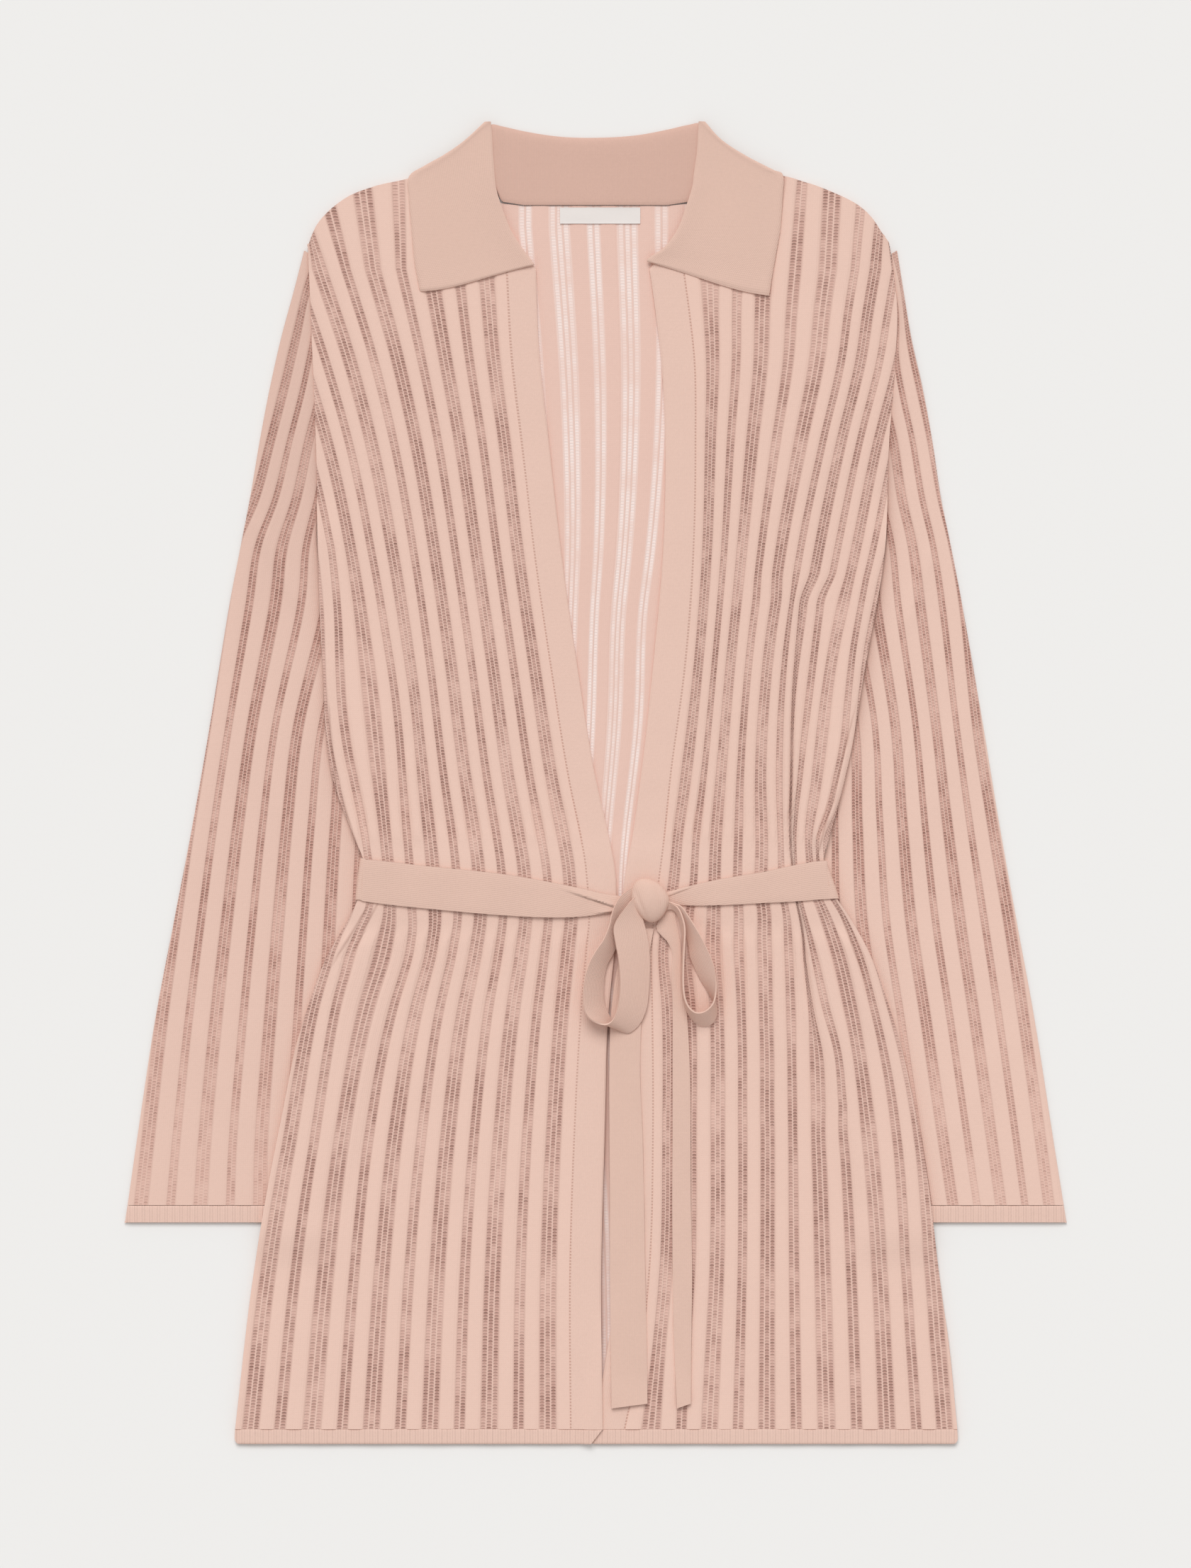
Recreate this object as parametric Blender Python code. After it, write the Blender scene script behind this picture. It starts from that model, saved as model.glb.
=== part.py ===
"""Ribbed openwork cardigan, laid flat on its back with its belt tied in a bow.

The garment lies on the plane z = 0. +Y runs from the hem to the collar and +X to the
wearer's left. Sizes are in millimetres and are scaled to metres when a mesh is made.
"""
import bpy
import bmesh
import numpy as np

MM = 0.001
OBJECT_NAME = "ribbed_cardigan"

# Cloth and stacking sizes
WALL = 1.2
BAND_WALL = 1.6
SLEEVE_WALL = 1.0
BELT_WALL = 1.0
LABEL_WALL = 0.5
COLLAR_WALL = 1.5
SEAM_GAP = 0.3
LAYER_GAP = 0.5
TOUCH_GAP = 0.35
RIB_RAISE = 0.45
RIB_SLOPE = 0.8
GATHER_RAISE = 1.1
GATHER_START_ABOVE = 14.0
GATHER_START_BELOW = 26.0
GATHER_REACH = 45.0

# Openwork stripes between the plain ribs, wide and narrow by turns
STRIPES_SLEEVE = 8
WIDE_SHARE = 0.48
NARROW_SHARE = 0.31
SQUEEZE_STEP = 0.25
SQUEEZE_SOFT = 0.6

# Heights along the body
HEM_SEAM_Y = -411.0
HEM_EDGE_Y = -420.6
CUFF_SEAM_Y = -268.7
CUFF_EDGE_Y = -279.5
CHEST_Y = 328.0
UNDERARM_Y = 183.0
BELT_Y = -60.0
BELT_WIDTH = 26.0
BELT_RAMP = 14.0
NECK_SEAM_Y = 368.6

# How the body rises over what lies under it
SLEEVE_RAMP = 25.0
UNDERARM_RAMP = 35.0
CUFF_RAMP = 28.0
SLEEVE_RIB = 0.4
SLEEVE_STACK = 2 * SLEEVE_WALL + SEAM_GAP + SLEEVE_RIB
SLEEVE_LIFT = SLEEVE_STACK + SEAM_GAP
BELT_LIFT = BELT_WALL + 1.5 * SEAM_GAP
FRONT_Z = WALL + LAYER_GAP
FRONT_TOP = FRONT_Z + WALL + RIB_RAISE
COLLAR_Z = FRONT_TOP + TOUCH_GAP
OVERLAP_LIFT = BAND_WALL + SEAM_GAP

# Body sections from hem to chest: heights shared by back, fronts and bands
BODY_ROWS = (-411.0, -405, -360, -314, -283, -240, -190, -142, -110, -87, -73, -47, -33,
             0, 38, 75, 111, 150, 183, 219, 246, 273, 300, 328)
SHOULDER_SHARES = (0.5, 0.9, 1.0)
# Distances in from the side edge that back and fronts share
SIDE_STEPS = (0, 4, 10, 17, 24, 31, 38, 46, 56, 70, 90)

# Flattened sleeve tubes: how far in the outer fold rounds, gap along the armhole, and
# shares of the width with a point on the lower and upper inside
FOLD = 1.2
ARMHOLE_GAP = 0.4
LOW_SHARES = (0.25, 0.5, 0.75)
HIGH_SHARES = (0.85, 0.7, 0.5, 0.3, 0.15)

COLOURS = {
    "knit": (0.775, 0.527, 0.445, 1.0),
    "plain_knit": (0.745, 0.52, 0.43, 1.0),
    "label": (0.87, 0.83, 0.78, 1.0),
}


def table(columns, *rows):
    """A table of named columns, its first column rising."""
    values = np.array(sorted(rows), dtype=float)
    return {name: values[:, i] for i, name in enumerate(columns.split())}


# One row for each section: side edge, the ninth, sixth and first stripe, the band seam
# and the free inner edge of the band
FRONT_RIGHT = table(
    "y side ninth sixth first seam inner",
    (328, -182.6, -207.5, -159.1, -69.8, -57.0, -38.0),
    (273, -180.3, -188.0, -142.0, -65.3, -53.8, -35.7),
    (219, -178.1, -171.3, -128.8, -58.1, -47.5, -29.8),
    (147, -176.7, -155.5, -115.7, -49.3, -39.3, -21.7),
    (75, -173.6, -145.1, -105.3, -38.9, -28.9, -11.5),
    (2, -166.8, -137.4, -96.3, -27.6, -17.2, 0.5),
    (-38, -154.6, -133.3, -90.6, -19.7, -9.0, 9.5),
    (-60, -151.4, -131.5, -88.5, -16.5, -6.0, 13.0),
    (-83, -155.5, -131.1, -87.7, -15.4, -4.5, 13.5),
    (-106, -169.0, -134.9, -90.9, -17.4, -6.3, 12.2),
    (-142, -183.1, -145.5, -99.0, -21.2, -9.5, 8.6),
    (-223, -202.0, -161.1, -110.7, -26.7, -14.0, 5.9),
    (-314, -218.1, -172.2, -118.9, -30.1, -16.7, 3.6),
    (-411, -229.6, -180.8, -124.4, -30.4, -16.3, 4.7),
)
FRONT_LEFT = table(
    "y side ninth sixth first seam inner",
    (328, 189.8, 204.0, 165.4, 72.8, 56.5, 34.4),
    (301, 192.2, 199.0, 161.0, 73.6, 60.2, 38.2),
    (273, 191.2, 194.0, 157.3, 74.6, 63.3, 41.6),
    (219, 187.1, 180.3, 145.1, 73.2, 64.2, 44.3),
    (147, 184.0, 165.4, 130.2, 71.0, 62.8, 42.9),
    (75, 171.8, 149.6, 120.2, 65.5, 57.4, 36.6),
    (2, 158.7, 140.6, 117.0, 57.4, 47.9, 28.5),
    (-38, 150.0, 136.0, 118.0, 52.0, 43.8, 22.6),
    (-60, 152.0, 138.0, 118.5, 50.0, 41.0, 18.5),
    (-83, 160.5, 142.8, 120.7, 47.9, 38.9, 16.5),
    (-106, 173.6, 150.5, 122.5, 45.0, 36.5, 15.5),
    (-142, 187.0, 159.6, 124.3, 45.7, 36.6, 16.7),
    (-223, 206.6, 174.0, 125.7, 46.1, 37.1, 17.2),
    (-314, 219.2, 181.3, 126.6, 44.3, 34.4, 14.9),
    (-360, 225.2, 183.6, 127.2, 40.2, 29.5, 7.5),
    (-411, 230.5, 185.8, 127.9, 35.5, 19.0, -0.9),
)
TENTH_SHARE = 0.42
ELEVENTH_SHARE = 0.8

# Where lines that reach the chest row end on the shoulder: place at the chest row, end
SHOULDER_RIGHT = table(
    "chest x y",
    (-182.6, -183.0, 343.0), (-173.6, -180.6, 350.0), (-167.0, -177.0, 357.0),
    (-159.0, -169.0, 366.0), (-150.0, -158.0, 374.0), (-137.4, -143.3, 380.0),
    (-120.0, -121.0, 385.3), (-57.0, -92.0, 391.0),
)
SHOULDER_LEFT = table(
    "chest x y",
    (56.5, 92.0, 391.0), (126.0, 130.6, 384.5), (147.4, 150.0, 377.6),
    (157.0, 160.0, 373.0), (165.4, 169.0, 367.7), (174.0, 177.5, 359.0),
    (180.0, 182.0, 352.0), (189.8, 187.0, 345.0),
)
# Plain bands above the chest row, under the collar: seam and inner edge
BAND_TOP_RIGHT = ((352.8, -70.8, -54.0), (371.0, -80.9, -65.0), (388.0, -90.3, -74.5))
BAND_TOP_LEFT = ((352.8, 70.4, 54.0), (371.0, 80.7, 65.0), (388.0, 90.3, 74.5))

# Back neck and shoulders from the wearer's right to the left: place across, height
BACK_TOP = table(
    "x y",
    (-183.0, 343.0), (-177.0, 357.0), (-169.0, 366.0), (-158.0, 374.0), (-143.3, 380.0),
    (-121.0, 385.3), (-92.0, 392.0), (-79.0, 395.0), (-74.5, 388.0), (-66.5, 376.0),
    (-60.0, 370.0), (-46.0, NECK_SEAM_Y), (0.0, NECK_SEAM_Y), (46.0, NECK_SEAM_Y),
    (60.0, 370.0), (66.5, 376.0), (74.5, 388.0), (79.0, 395.0), (92.0, 392.0),
    (130.6, 384.5), (150.0, 377.6), (160.0, 373.0), (169.0, 367.7), (177.5, 359.0),
    (187.0, 345.0),
)

# Sleeve sections below the underarm: outer fold, inner fold, place of the first stripe
# from the outer fold and stripe pitch
SLEEVE_RIGHT = table(
    "y outer inner first pitch",
    (UNDERARM_Y, -220.1, -178.5, -8.0, 13.5), (150, -226.5, -177.6, -5.5, 15.0),
    (111, -233.9, -168.0, -3.8, 16.5), (38.6, -245.6, -152.0, -2.6, 14.8),
    (-24.6, -256.6, -143.0, -1.9, 15.5), (-88, -268.8, -141.0, 1.0, 16.4),
    (-151, -280.8, -150.0, 4.2, 17.3), (-223.5, -291.8, -168.0, 7.0, 18.0),
    (-263, -297.6, -179.5, 8.4, 18.9), (CUFF_SEAM_Y, -298.3, -181.0, 8.5, 19.0),
)
SLEEVE_LEFT = table(
    "y outer inner first pitch",
    (UNDERARM_Y, 220.1, 187.6, -0.8, 12.6), (150, 226.8, 185.2, -0.9, 13.3),
    (111, 234.3, 172.5, -1.0, 14.0), (38.6, 246.8, 154.0, 4.0, 13.0),
    (-24.6, 257.2, 143.0, 4.5, 14.3), (-88, 268.5, 141.0, 5.0, 15.6),
    (-151, 280.0, 150.0, 7.0, 15.6), (-223.5, 291.3, 168.0, 8.2, 15.5),
    (-263, 297.6, 180.4, 9.3, 15.3), (CUFF_SEAM_Y, 298.5, 182.0, 9.5, 15.3),
)
# Slanting sleeve sections above the underarm, from the outer fold down to the armhole
CAP_RIGHT = table(
    "y outer armhole first pitch",
    (219, -214.0, 219, -12.0, 12.7), (252, -207.7, 246, -15.8, 12.0),
    (284, -200.5, 273, -18.0, 11.5), (314, -192.4, 300, -22.6, 10.4),
    (340, -185.7, 328, -22.0, 8.0),
)
CAP_LEFT = table(
    "y outer armhole first pitch",
    (219, 214.6, 219, -3.0, 10.6), (252, 208.6, 246, -5.4, 9.0),
    (284, 201.4, 273, -9.0, 8.6), (314, 196.4, 300, -12.2, 8.0),
    (340, 192.2, 328, -14.0, 6.5),
)

# Collar leaves: rows from the peak at the shoulder to the point on the chest
LEAF_RIGHT = (
    ((-68.0, 422.3), (-72.0, 420.4)), ((-66.0, 416.0), (-83.6, 409.8)),
    ((-65.2, 402.5), (-95.8, 401.2)), ((-64.2, 388.0), (-108.5, 394.0)),
    ((-63.0, 378.5), (-118.9, 386.8)), ((-60.0, 368.5), (-118.9, 372.6)),
    ((-53.8, 352.8), (-118.0, 350.5)), ((-46.1, 340.6), (-116.6, 332.5)),
    ((-39.2, 332.6), (-114.8, 319.8)), ((-40.5, 331.6), (-109.0, 313.0)),
)
LEAF_LEFT = (
    ((66.8, 422.3), (70.5, 420.6)), ((65.2, 416.0), (80.0, 410.6)),
    ((64.5, 402.5), (94.9, 400.7)), ((62.5, 388.0), (112.5, 391.5)),
    ((61.5, 380.0), (119.5, 387.6)), ((57.5, 367.5), (119.0, 372.0)),
    ((52.5, 354.0), (117.8, 354.0)), ((44.0, 342.0), (115.0, 338.0)),
    ((33.2, 334.8), (113.4, 322.9)), ((33.0, 333.8), (108.5, 310.2)),
)
# Folded collar at the back neck: place, neck edge, top fold and height of the roll
COLLAR_BACK = table(
    "x low high roll",
    (-70.0, 398.0, 418.8, 4.6), (-66.0, 386.0, 420.3, 4.4), (-60.0, 371.2, 419.3, 3.2),
    (-46.0, 368.95, 416.2, 2.7), (-22.0, 368.95, 412.6, 2.7), (3.0, 368.95, 412.0, 2.7),
    (28.0, 368.95, 413.8, 2.7), (46.0, 368.95, 417.2, 2.7), (60.0, 371.2, 420.3, 3.1),
    (66.5, 386.0, 421.0, 4.5), (69.7, 398.0, 419.0, 4.7),
)
LEAF_CROWN = 0.7
LEAF_CROWN_REACH = 9.0
LABEL_BOX = (-22.6, 28.5, 357.2, 367.4)

# Belt runs across the front: place, upper edge, lower edge
BELT_RUN_RIGHT = table(
    "x high low",
    (-154.0, -47.2, -73.5), (-134.0, -49.2, -76.4), (-110.0, -52.0, -79.0),
    (-88.0, -54.2, -81.1), (-60.0, -57.3, -83.4), (-33.0, -61.7, -84.8),
    (-10.0, -66.4, -84.4), (8.0, -70.5, -82.0), (21.5, -72.0, -79.5),
)
BELT_RUN_LEFT = table(
    "x high low",
    (154.0, -48.8, -72.8), (145.5, -48.8, -73.2), (125.0, -52.0, -74.8),
    (108.0, -55.8, -75.6), (90.0, -58.8, -76.6), (73.0, -61.9, -77.2),
    (60.0, -65.0, -77.2), (46.0, -69.2, -76.0),
)
BELT_STEPS_RIGHT = (-147.0, -141.0, -135.0, -128.5, -122.0, -115.0, -88.0, -60.0, -33.0,
                    -10.0, 8.0, 21.5)
BELT_STEPS_LEFT = (147.0, 141.0, 135.0, 128.5, 122.0, 115.0, 90.0, 73.0, 60.0, 46.0)

KNOT_CENTRE = (33.9, -73.5, 9.9)
KNOT_RADII = (10.8, 14.5, 4.9)
KNOT_SEGMENTS = 16
KNOT_RINGS = 10

# Bow loops: raised rim and lower rim of the ribbon, x, y and height for each section
LOOP_RIGHT = (
    ((21.6, -68.0, 9.6), (22.4, -80.0, 6.6)), ((13.5, -77.0, 10.4), (18.0, -88.0, 6.2)),
    ((9.6, -91.0, 12.4), (14.5, -97.5, 6.0)), ((3.2, -103.3, 14.2), (11.4, -108.5, 6.0)),
    ((-4.1, -114.1, 15.2), (6.6, -120.5, 6.0)), ((-7.2, -126.3, 15.6), (4.8, -131.0, 6.0)),
    ((-7.4, -136.7, 15.6), (5.0, -138.8, 6.0)), ((-4.2, -146.4, 15.4), (7.6, -149.6, 6.0)),
    ((4.1, -151.2, 15.2), (14.0, -156.8, 6.0)), ((9.5, -148.0, 15.2), (21.6, -158.4, 6.0)),
    ((13.4, -138.1, 15.0), (28.4, -146.8, 6.0)), ((14.4, -123.2, 14.4), (33.0, -135.4, 6.2)),
    ((13.6, -106.0, 13.4), (34.4, -119.1, 6.6)), ((12.6, -90.6, 12.6), (33.9, -102.8, 7.2)),
    ((16.0, -81.6, 12.4), (29.4, -92.6, 9.2)), ((21.4, -72.0, 12.6), (25.0, -86.6, 11.8)),
)
LOOP_LEFT = (
    ((46.2, -76.4, 10.4), (46.0, -84.0, 7.4)), ((54.8, -84.0, 12.4), (51.0, -90.4, 6.6)),
    ((61.6, -93.0, 13.8), (57.4, -100.4, 6.0)), ((68.2, -105.4, 14.8), (62.6, -113.6, 5.8)),
    ((73.2, -115.6, 15.2), (69.2, -125.0, 5.8)), ((75.0, -126.4, 15.2), (76.0, -134.6, 5.8)),
    ((74.4, -138.1, 15.2), (77.0, -143.6, 5.8)), ((68.7, -144.0, 15.2), (74.4, -151.4, 5.8)),
    ((62.6, -144.8, 15.2), (67.6, -153.6, 5.8)), ((57.4, -140.4, 15.2), (61.8, -150.2, 5.8)),
    ((55.2, -132.7, 15.2), (59.4, -142.0, 5.8)), ((55.2, -119.1, 14.8), (59.8, -127.0, 5.8)),
    ((55.4, -105.4, 13.4), (58.4, -111.8, 6.0)), ((52.6, -97.2, 11.8), (53.2, -102.2, 6.2)),
    ((47.2, -90.6, 9.6), (45.6, -94.6, 6.6)),
)
# Belt tails: height along the body, left edge, right edge
TAIL_RIGHT = table(
    "y low high",
    (-92.0, 24.5, 37.0), (-112.0, 15.5, 33.5), (-140.0, 10.5, 30.0), (-178.0, 9.0, 28.2),
    (-223.0, 9.0, 29.8), (-268.0, 9.3, 30.8), (-314.0, 9.3, 31.6), (-359.0, 9.8, 32.6),
    (-394.5, 11.3, 33.4),
)
TAIL_LEFT = table(
    "y low high",
    (-92.0, 40.0, 51.0), (-101.0, 46.5, 53.8), (-119.0, 48.6, 54.6), (-140.0, 49.2, 57.4),
    (-178.0, 49.2, 59.8), (-223.0, 49.2, 60.4), (-268.0, 49.0, 60.6), (-314.0, 49.4, 61.4),
    (-359.0, 50.2, 60.8), (-394.5, 52.0, 60.6),
)
TAIL_SLANT = 3.0


def smooth01(t):
    """Soft step from 0 to 1."""
    t = np.clip(t, 0.0, 1.0)
    return t * t * (3.0 - 2.0 * t)


def along(rows, column, y):
    """Smooth value of a table's column at height y."""
    ys = rows["y"]
    values = rows[column]
    slopes = np.gradient(values, ys)
    i = int(np.clip(np.searchsorted(ys, y) - 1, 0, len(ys) - 2))
    span = ys[i + 1] - ys[i]
    t = float(np.clip((y - ys[i]) / span, 0.0, 1.0))
    start = values[i] * (1 + 2 * t) * (1 - t) ** 2 + slopes[i] * span * t * (1 - t) ** 2
    end = values[i + 1] * t * t * (3 - 2 * t) + slopes[i + 1] * span * t * t * (t - 1)
    return start + end


def lift(x, y):
    """Height of the back's underside over the sleeves and the hidden belt stretch."""
    sleeve = SLEEVE_LEFT if x > 0 else SLEEVE_RIGHT
    past_fold = abs(x) - abs(along(sleeve, "inner", y))
    over_sleeve = smooth01((past_fold + SLEEVE_RAMP) / SLEEVE_RAMP)
    below_arm = smooth01((UNDERARM_Y + 2.0 - y) / UNDERARM_RAMP)
    above_cuff = smooth01((y - CUFF_EDGE_Y + CUFF_RAMP + 4.0) / CUFF_RAMP)
    from_belt = abs(y - BELT_Y) - BELT_WIDTH / 2
    over_belt = smooth01((BELT_RAMP - from_belt) / BELT_RAMP)
    return SLEEVE_LIFT * over_sleeve * below_arm * above_cuff + BELT_LIFT * over_belt


def overlap(x, y):
    """Extra height of the right front where it laps over the left band near the hem."""
    past_edge = x - along(FRONT_LEFT, "inner", max(y, HEM_SEAM_Y))
    return OVERLAP_LIFT * float(smooth01((past_edge + 10.0) / 8.0))


def front_height(x, y, right_side):
    """Height of a front's inside face."""
    height = FRONT_Z + lift(x, y)
    if right_side and y < -330.0:
        height += overlap(x, y)
    return height


def gather(y):
    """Extra height of the ribs where the belt pleats them, none under the belt itself."""
    away = max(y - BELT_Y - GATHER_START_ABOVE, BELT_Y - GATHER_START_BELOW - y, 0.0)
    return GATHER_RAISE * float(smooth01(away / 14.0)) * np.exp(-(away / GATHER_REACH) ** 2)


def cover_height(x, y):
    """Height just over the fronts and bands, for what lies on them."""
    heights = [FRONT_TOP + gather(row) + lift(x, row) + TOUCH_GAP for row in BODY_ROWS]
    return float(np.interp(y, BODY_ROWS, heights))


def body_side(rows, y):
    """Side edge of the body at height y, straight between its sections."""
    return float(np.interp(y, BODY_ROWS, [along(rows, "side", row) for row in BODY_ROWS]))


def principled(name, colour):
    material = bpy.data.materials.get(name)
    if material is None:
        material = bpy.data.materials.new(name)
        material.use_nodes = True
        shader = material.node_tree.nodes["Principled BSDF"]
        shader.inputs["Base Color"].default_value = colour
        shader.inputs["Roughness"].default_value = 0.85
        shader.inputs["Metallic"].default_value = 0.0
        material.diffuse_color = colour
    return material


def add_object(name, points, faces, finish, collection):
    """One named object from points in millimetres, faces turned outwards."""
    mesh = bpy.data.meshes.new(name)
    mesh.from_pydata([tuple(float(c) * MM for c in p) for p in points], [], faces)
    work = bmesh.new()
    work.from_mesh(mesh)
    bmesh.ops.recalc_face_normals(work, faces=work.faces)
    bmesh.ops.triangulate(work, faces=work.faces, quad_method="SHORT_EDGE")
    work.to_mesh(mesh)
    work.free()
    mesh.materials.append(principled(name + "_" + finish, COLOURS[finish]))
    obj = bpy.data.objects.new(name, mesh)
    collection.objects.link(obj)
    return obj


def zip_rows(first, second, first_place, second_place):
    """Triangles between two rows of points that may differ in number."""
    faces = []
    i = 0
    j = 0
    while i < len(first) - 1 or j < len(second) - 1:
        at_end = j == len(second) - 1
        if at_end or (i < len(first) - 1 and first_place[i + 1] <= second_place[j + 1]):
            faces.append((first[i], first[i + 1], second[j]))
            i += 1
        else:
            faces.append((first[i], second[j + 1], second[j]))
            j += 1
    return faces


def cloth_solid(name, outer, inner, places, finish, collection, closed_rows=0):
    """A wall between two grids of points with equal rows.

    places gives, for each grid, the order of its columns along a row. Rows up to
    closed_rows close into a tube; the others stay open at their two ends.
    """
    rows = len(outer)
    n = len(outer[0])
    m = len(inner[0])
    points = [p for row in outer for p in row] + [p for row in inner for p in row]
    out = [[r * n + c for c in range(n)] for r in range(rows)]
    ins = [[rows * n + r * m + c for c in range(m)] for r in range(rows)]
    faces = []
    for grid in (out, ins):
        for r in range(rows - 1):
            for c in range(len(grid[0]) - 1):
                faces.append((grid[r][c], grid[r][c + 1], grid[r + 1][c + 1], grid[r + 1][c]))
    for r in range(rows - 1):
        if r < closed_rows:
            faces.append((out[r][-1], out[r][0], out[r + 1][0], out[r + 1][-1]))
            faces.append((ins[r][-1], ins[r][0], ins[r + 1][0], ins[r + 1][-1]))
        else:
            faces.append((out[r][0], out[r + 1][0], ins[r + 1][0], ins[r][0]))
            faces.append((out[r][-1], out[r + 1][-1], ins[r + 1][-1], ins[r][-1]))
    for r in (0, rows - 1):
        faces += zip_rows(out[r], ins[r], places[0], places[1])
    for r in (0, closed_rows):
        if closed_rows:
            faces.append((out[r][-1], out[r][0], ins[r][0], ins[r][-1]))
    return add_object(name, points, faces, finish, collection)


def soft_floor(value, low):
    """Value kept above a floor, with a soft turn."""
    return low + SQUEEZE_SOFT * np.logaddexp(0.0, (value - low) / SQUEEZE_SOFT)


def stripe_edges(centres, pitches):
    """Columns of a ribbed wall: place and share of the rib height at each."""
    columns = []
    for k, (centre, pitch) in enumerate(zip(centres, pitches)):
        half = pitch * (WIDE_SHARE if k % 2 == 0 else NARROW_SHARE) / 2
        columns += [(centre - half - RIB_SLOPE, 1.0), (centre - half, 0.0),
                    (centre + half, 0.0), (centre + half + RIB_SLOPE, 1.0)]
    return columns


def front_columns(rows, y):
    """Ribbed columns of a front from the band seam to the side, at height y."""
    side, ninth, sixth, first, seam = (
        along(rows, name, y) for name in ("side", "ninth", "sixth", "first", "seam"))
    out = 1.0 if side > 0 else -1.0
    span = abs(side - seam)
    knots = [abs(v - seam) for v in (first, sixth, ninth)]
    rest = max(span - knots[2], 0.0)
    centres = list(np.interp(range(9), (0, 5, 8), knots))
    last = (knots[2] - knots[1]) / 3
    least = last * (WIDE_SHARE + NARROW_SHARE) / 2 + 2 * RIB_SLOPE + 0.3
    centres.append(centres[-1] + max(TENTH_SHARE * rest, least))
    centres.append(centres[-1] + max((ELEVENTH_SHARE - TENTH_SHARE) * rest, least))
    gaps = np.diff(centres)
    pitches = [min(gaps[max(k - 1, 0)], gaps[min(k, len(gaps) - 1)]) for k in range(len(centres))]
    places = [(0.0, 0.0), (RIB_SLOPE, 1.0)] + stripe_edges(centres, pitches)
    places += [(span - RIB_SLOPE, 1.0), (span, 0.0)]
    columns = []
    count = len(places)
    for i, (place, share) in enumerate(places):
        left = count - 1 - i
        room = span - min(place, span - RIB_SLOPE)
        inset = 0.0 if left == 0 else soft_floor(room, SQUEEZE_STEP * left)
        inset = min(inset, span - SQUEEZE_STEP * i)
        share *= float(smooth01(inset / 6.0))
        columns.append((seam + out * (span - inset), share))
    return columns


def shoulder_point(shoulder, x, t):
    """Point on the way from the chest row at x to the shoulder line."""
    top_x = np.interp(x, shoulder["chest"], shoulder["x"])
    top_y = np.interp(x, shoulder["chest"], shoulder["y"])
    return x + (top_x - x) * t, CHEST_Y + (top_y - CHEST_Y) * t


def inside_columns(rows, y):
    """Plain inside columns of a front, at the steps that back and fronts share."""
    side = along(rows, "side", y)
    seam = along(rows, "seam", y)
    out = 1.0 if side > 0 else -1.0
    span = abs(side - seam)
    kept = [d for d in SIDE_STEPS]
    return [seam] + [side - out * min(d, span - 6.0) for d in reversed(kept)]


def make_front(name, rows, shoulder, collection):
    right_side = rows["side"][0] < 0
    outer = []
    inner = []
    for y in BODY_ROWS:
        at_hem = y == HEM_SEAM_Y
        height = y + (SEAM_GAP if at_hem else 0.0)
        rib = 0.0 if at_hem else RIB_RAISE + gather(y)
        outer.append([(x, height, front_height(x, y, right_side) + WALL + rib * share)
                      for x, share in front_columns(rows, y)])
        inner.append([(x, height, front_height(x, y, right_side))
                      for x in inside_columns(rows, y)])
    chest = front_columns(rows, CHEST_Y)
    for t in SHOULDER_SHARES:
        rib = 0.0 if t == 1.0 else RIB_RAISE
        outer.append([(*shoulder_point(shoulder, x, t), FRONT_Z + WALL + rib * share)
                      for x, share in chest])
        inner.append([(*shoulder_point(shoulder, x, t), FRONT_Z)
                      for x in inside_columns(rows, CHEST_Y)])
    seam = chest[0][0]
    places = ([abs(x - seam) for x, _ in chest],
              [abs(x - seam) for x in inside_columns(rows, CHEST_Y)])
    return cloth_solid(name, outer, inner, places, "knit", collection)


def make_band(name, rows, top_rows, collection):
    """Plain front band from the hem to the neck."""
    right_side = rows["side"][0] < 0
    sections = []
    for y in BODY_ROWS:
        height = y + (SEAM_GAP if y == HEM_SEAM_Y else 0.0)
        sections.append((height, along(rows, "seam", y), along(rows, "inner", y)))
    sections += list(top_rows)
    outer = []
    inner = []
    shares = (0.0, 0.06, 0.3, 0.55, 0.8, 0.95, 1.0)
    for y, seam, edge in sections:
        start = seam + SEAM_GAP * np.sign(edge - seam)
        xs = [start + (edge - start) * share for share in shares]
        base = [front_height(x, y, right_side) for x in xs]
        rounding = [0.45, 0.1, 0.0, 0.0, 0.0, 0.1, 0.5]
        outer.append([(x, y, z + BAND_WALL - r) for x, z, r in zip(xs, base, rounding)])
        inner.append([(x, y, z) for x, z in zip(xs, base)])
    return cloth_solid(name, outer, inner, (shares, shares), "plain_knit", collection)


def make_back(collection):
    """Back panel on the floor, lifted over sleeves and hidden belt."""
    lower = []
    upper = []
    centre_steps = (-60.0, -46.0, -22.0, 0.0, 22.0, 46.0, 60.0)

    def columns(y):
        left = along(FRONT_LEFT, "side", y)
        right = along(FRONT_RIGHT, "side", y)
        xs = [right + d for d in SIDE_STEPS] + list(centre_steps)
        return xs + [left - d for d in reversed(SIDE_STEPS)]

    for y in BODY_ROWS:
        height = y + (SEAM_GAP if y == HEM_SEAM_Y else 0.0)
        base = [(x, height, float(lift(x, y))) for x in columns(y)]
        lower.append(base)
        upper.append([(x, yy, z + WALL) for x, yy, z in base])
    chest = columns(CHEST_Y)
    ends = list(np.interp(chest, (chest[0], -79.0, 79.0, chest[-1]), (-183.0, -79.0, 79.0, 187.0)))
    for t in SHOULDER_SHARES:
        base = []
        for x, end in zip(chest, ends):
            top = np.interp(end, BACK_TOP["x"], BACK_TOP["y"])
            base.append((x + (end - x) * t, CHEST_Y + (top - CHEST_Y) * t, 0.0))
        lower.append(base)
        upper.append([(x, y, WALL) for x, y, _ in base])
    places = [x - chest[0] for x in chest]
    return cloth_solid("back_panel", upper, lower, (places, places), "knit", collection)


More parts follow.
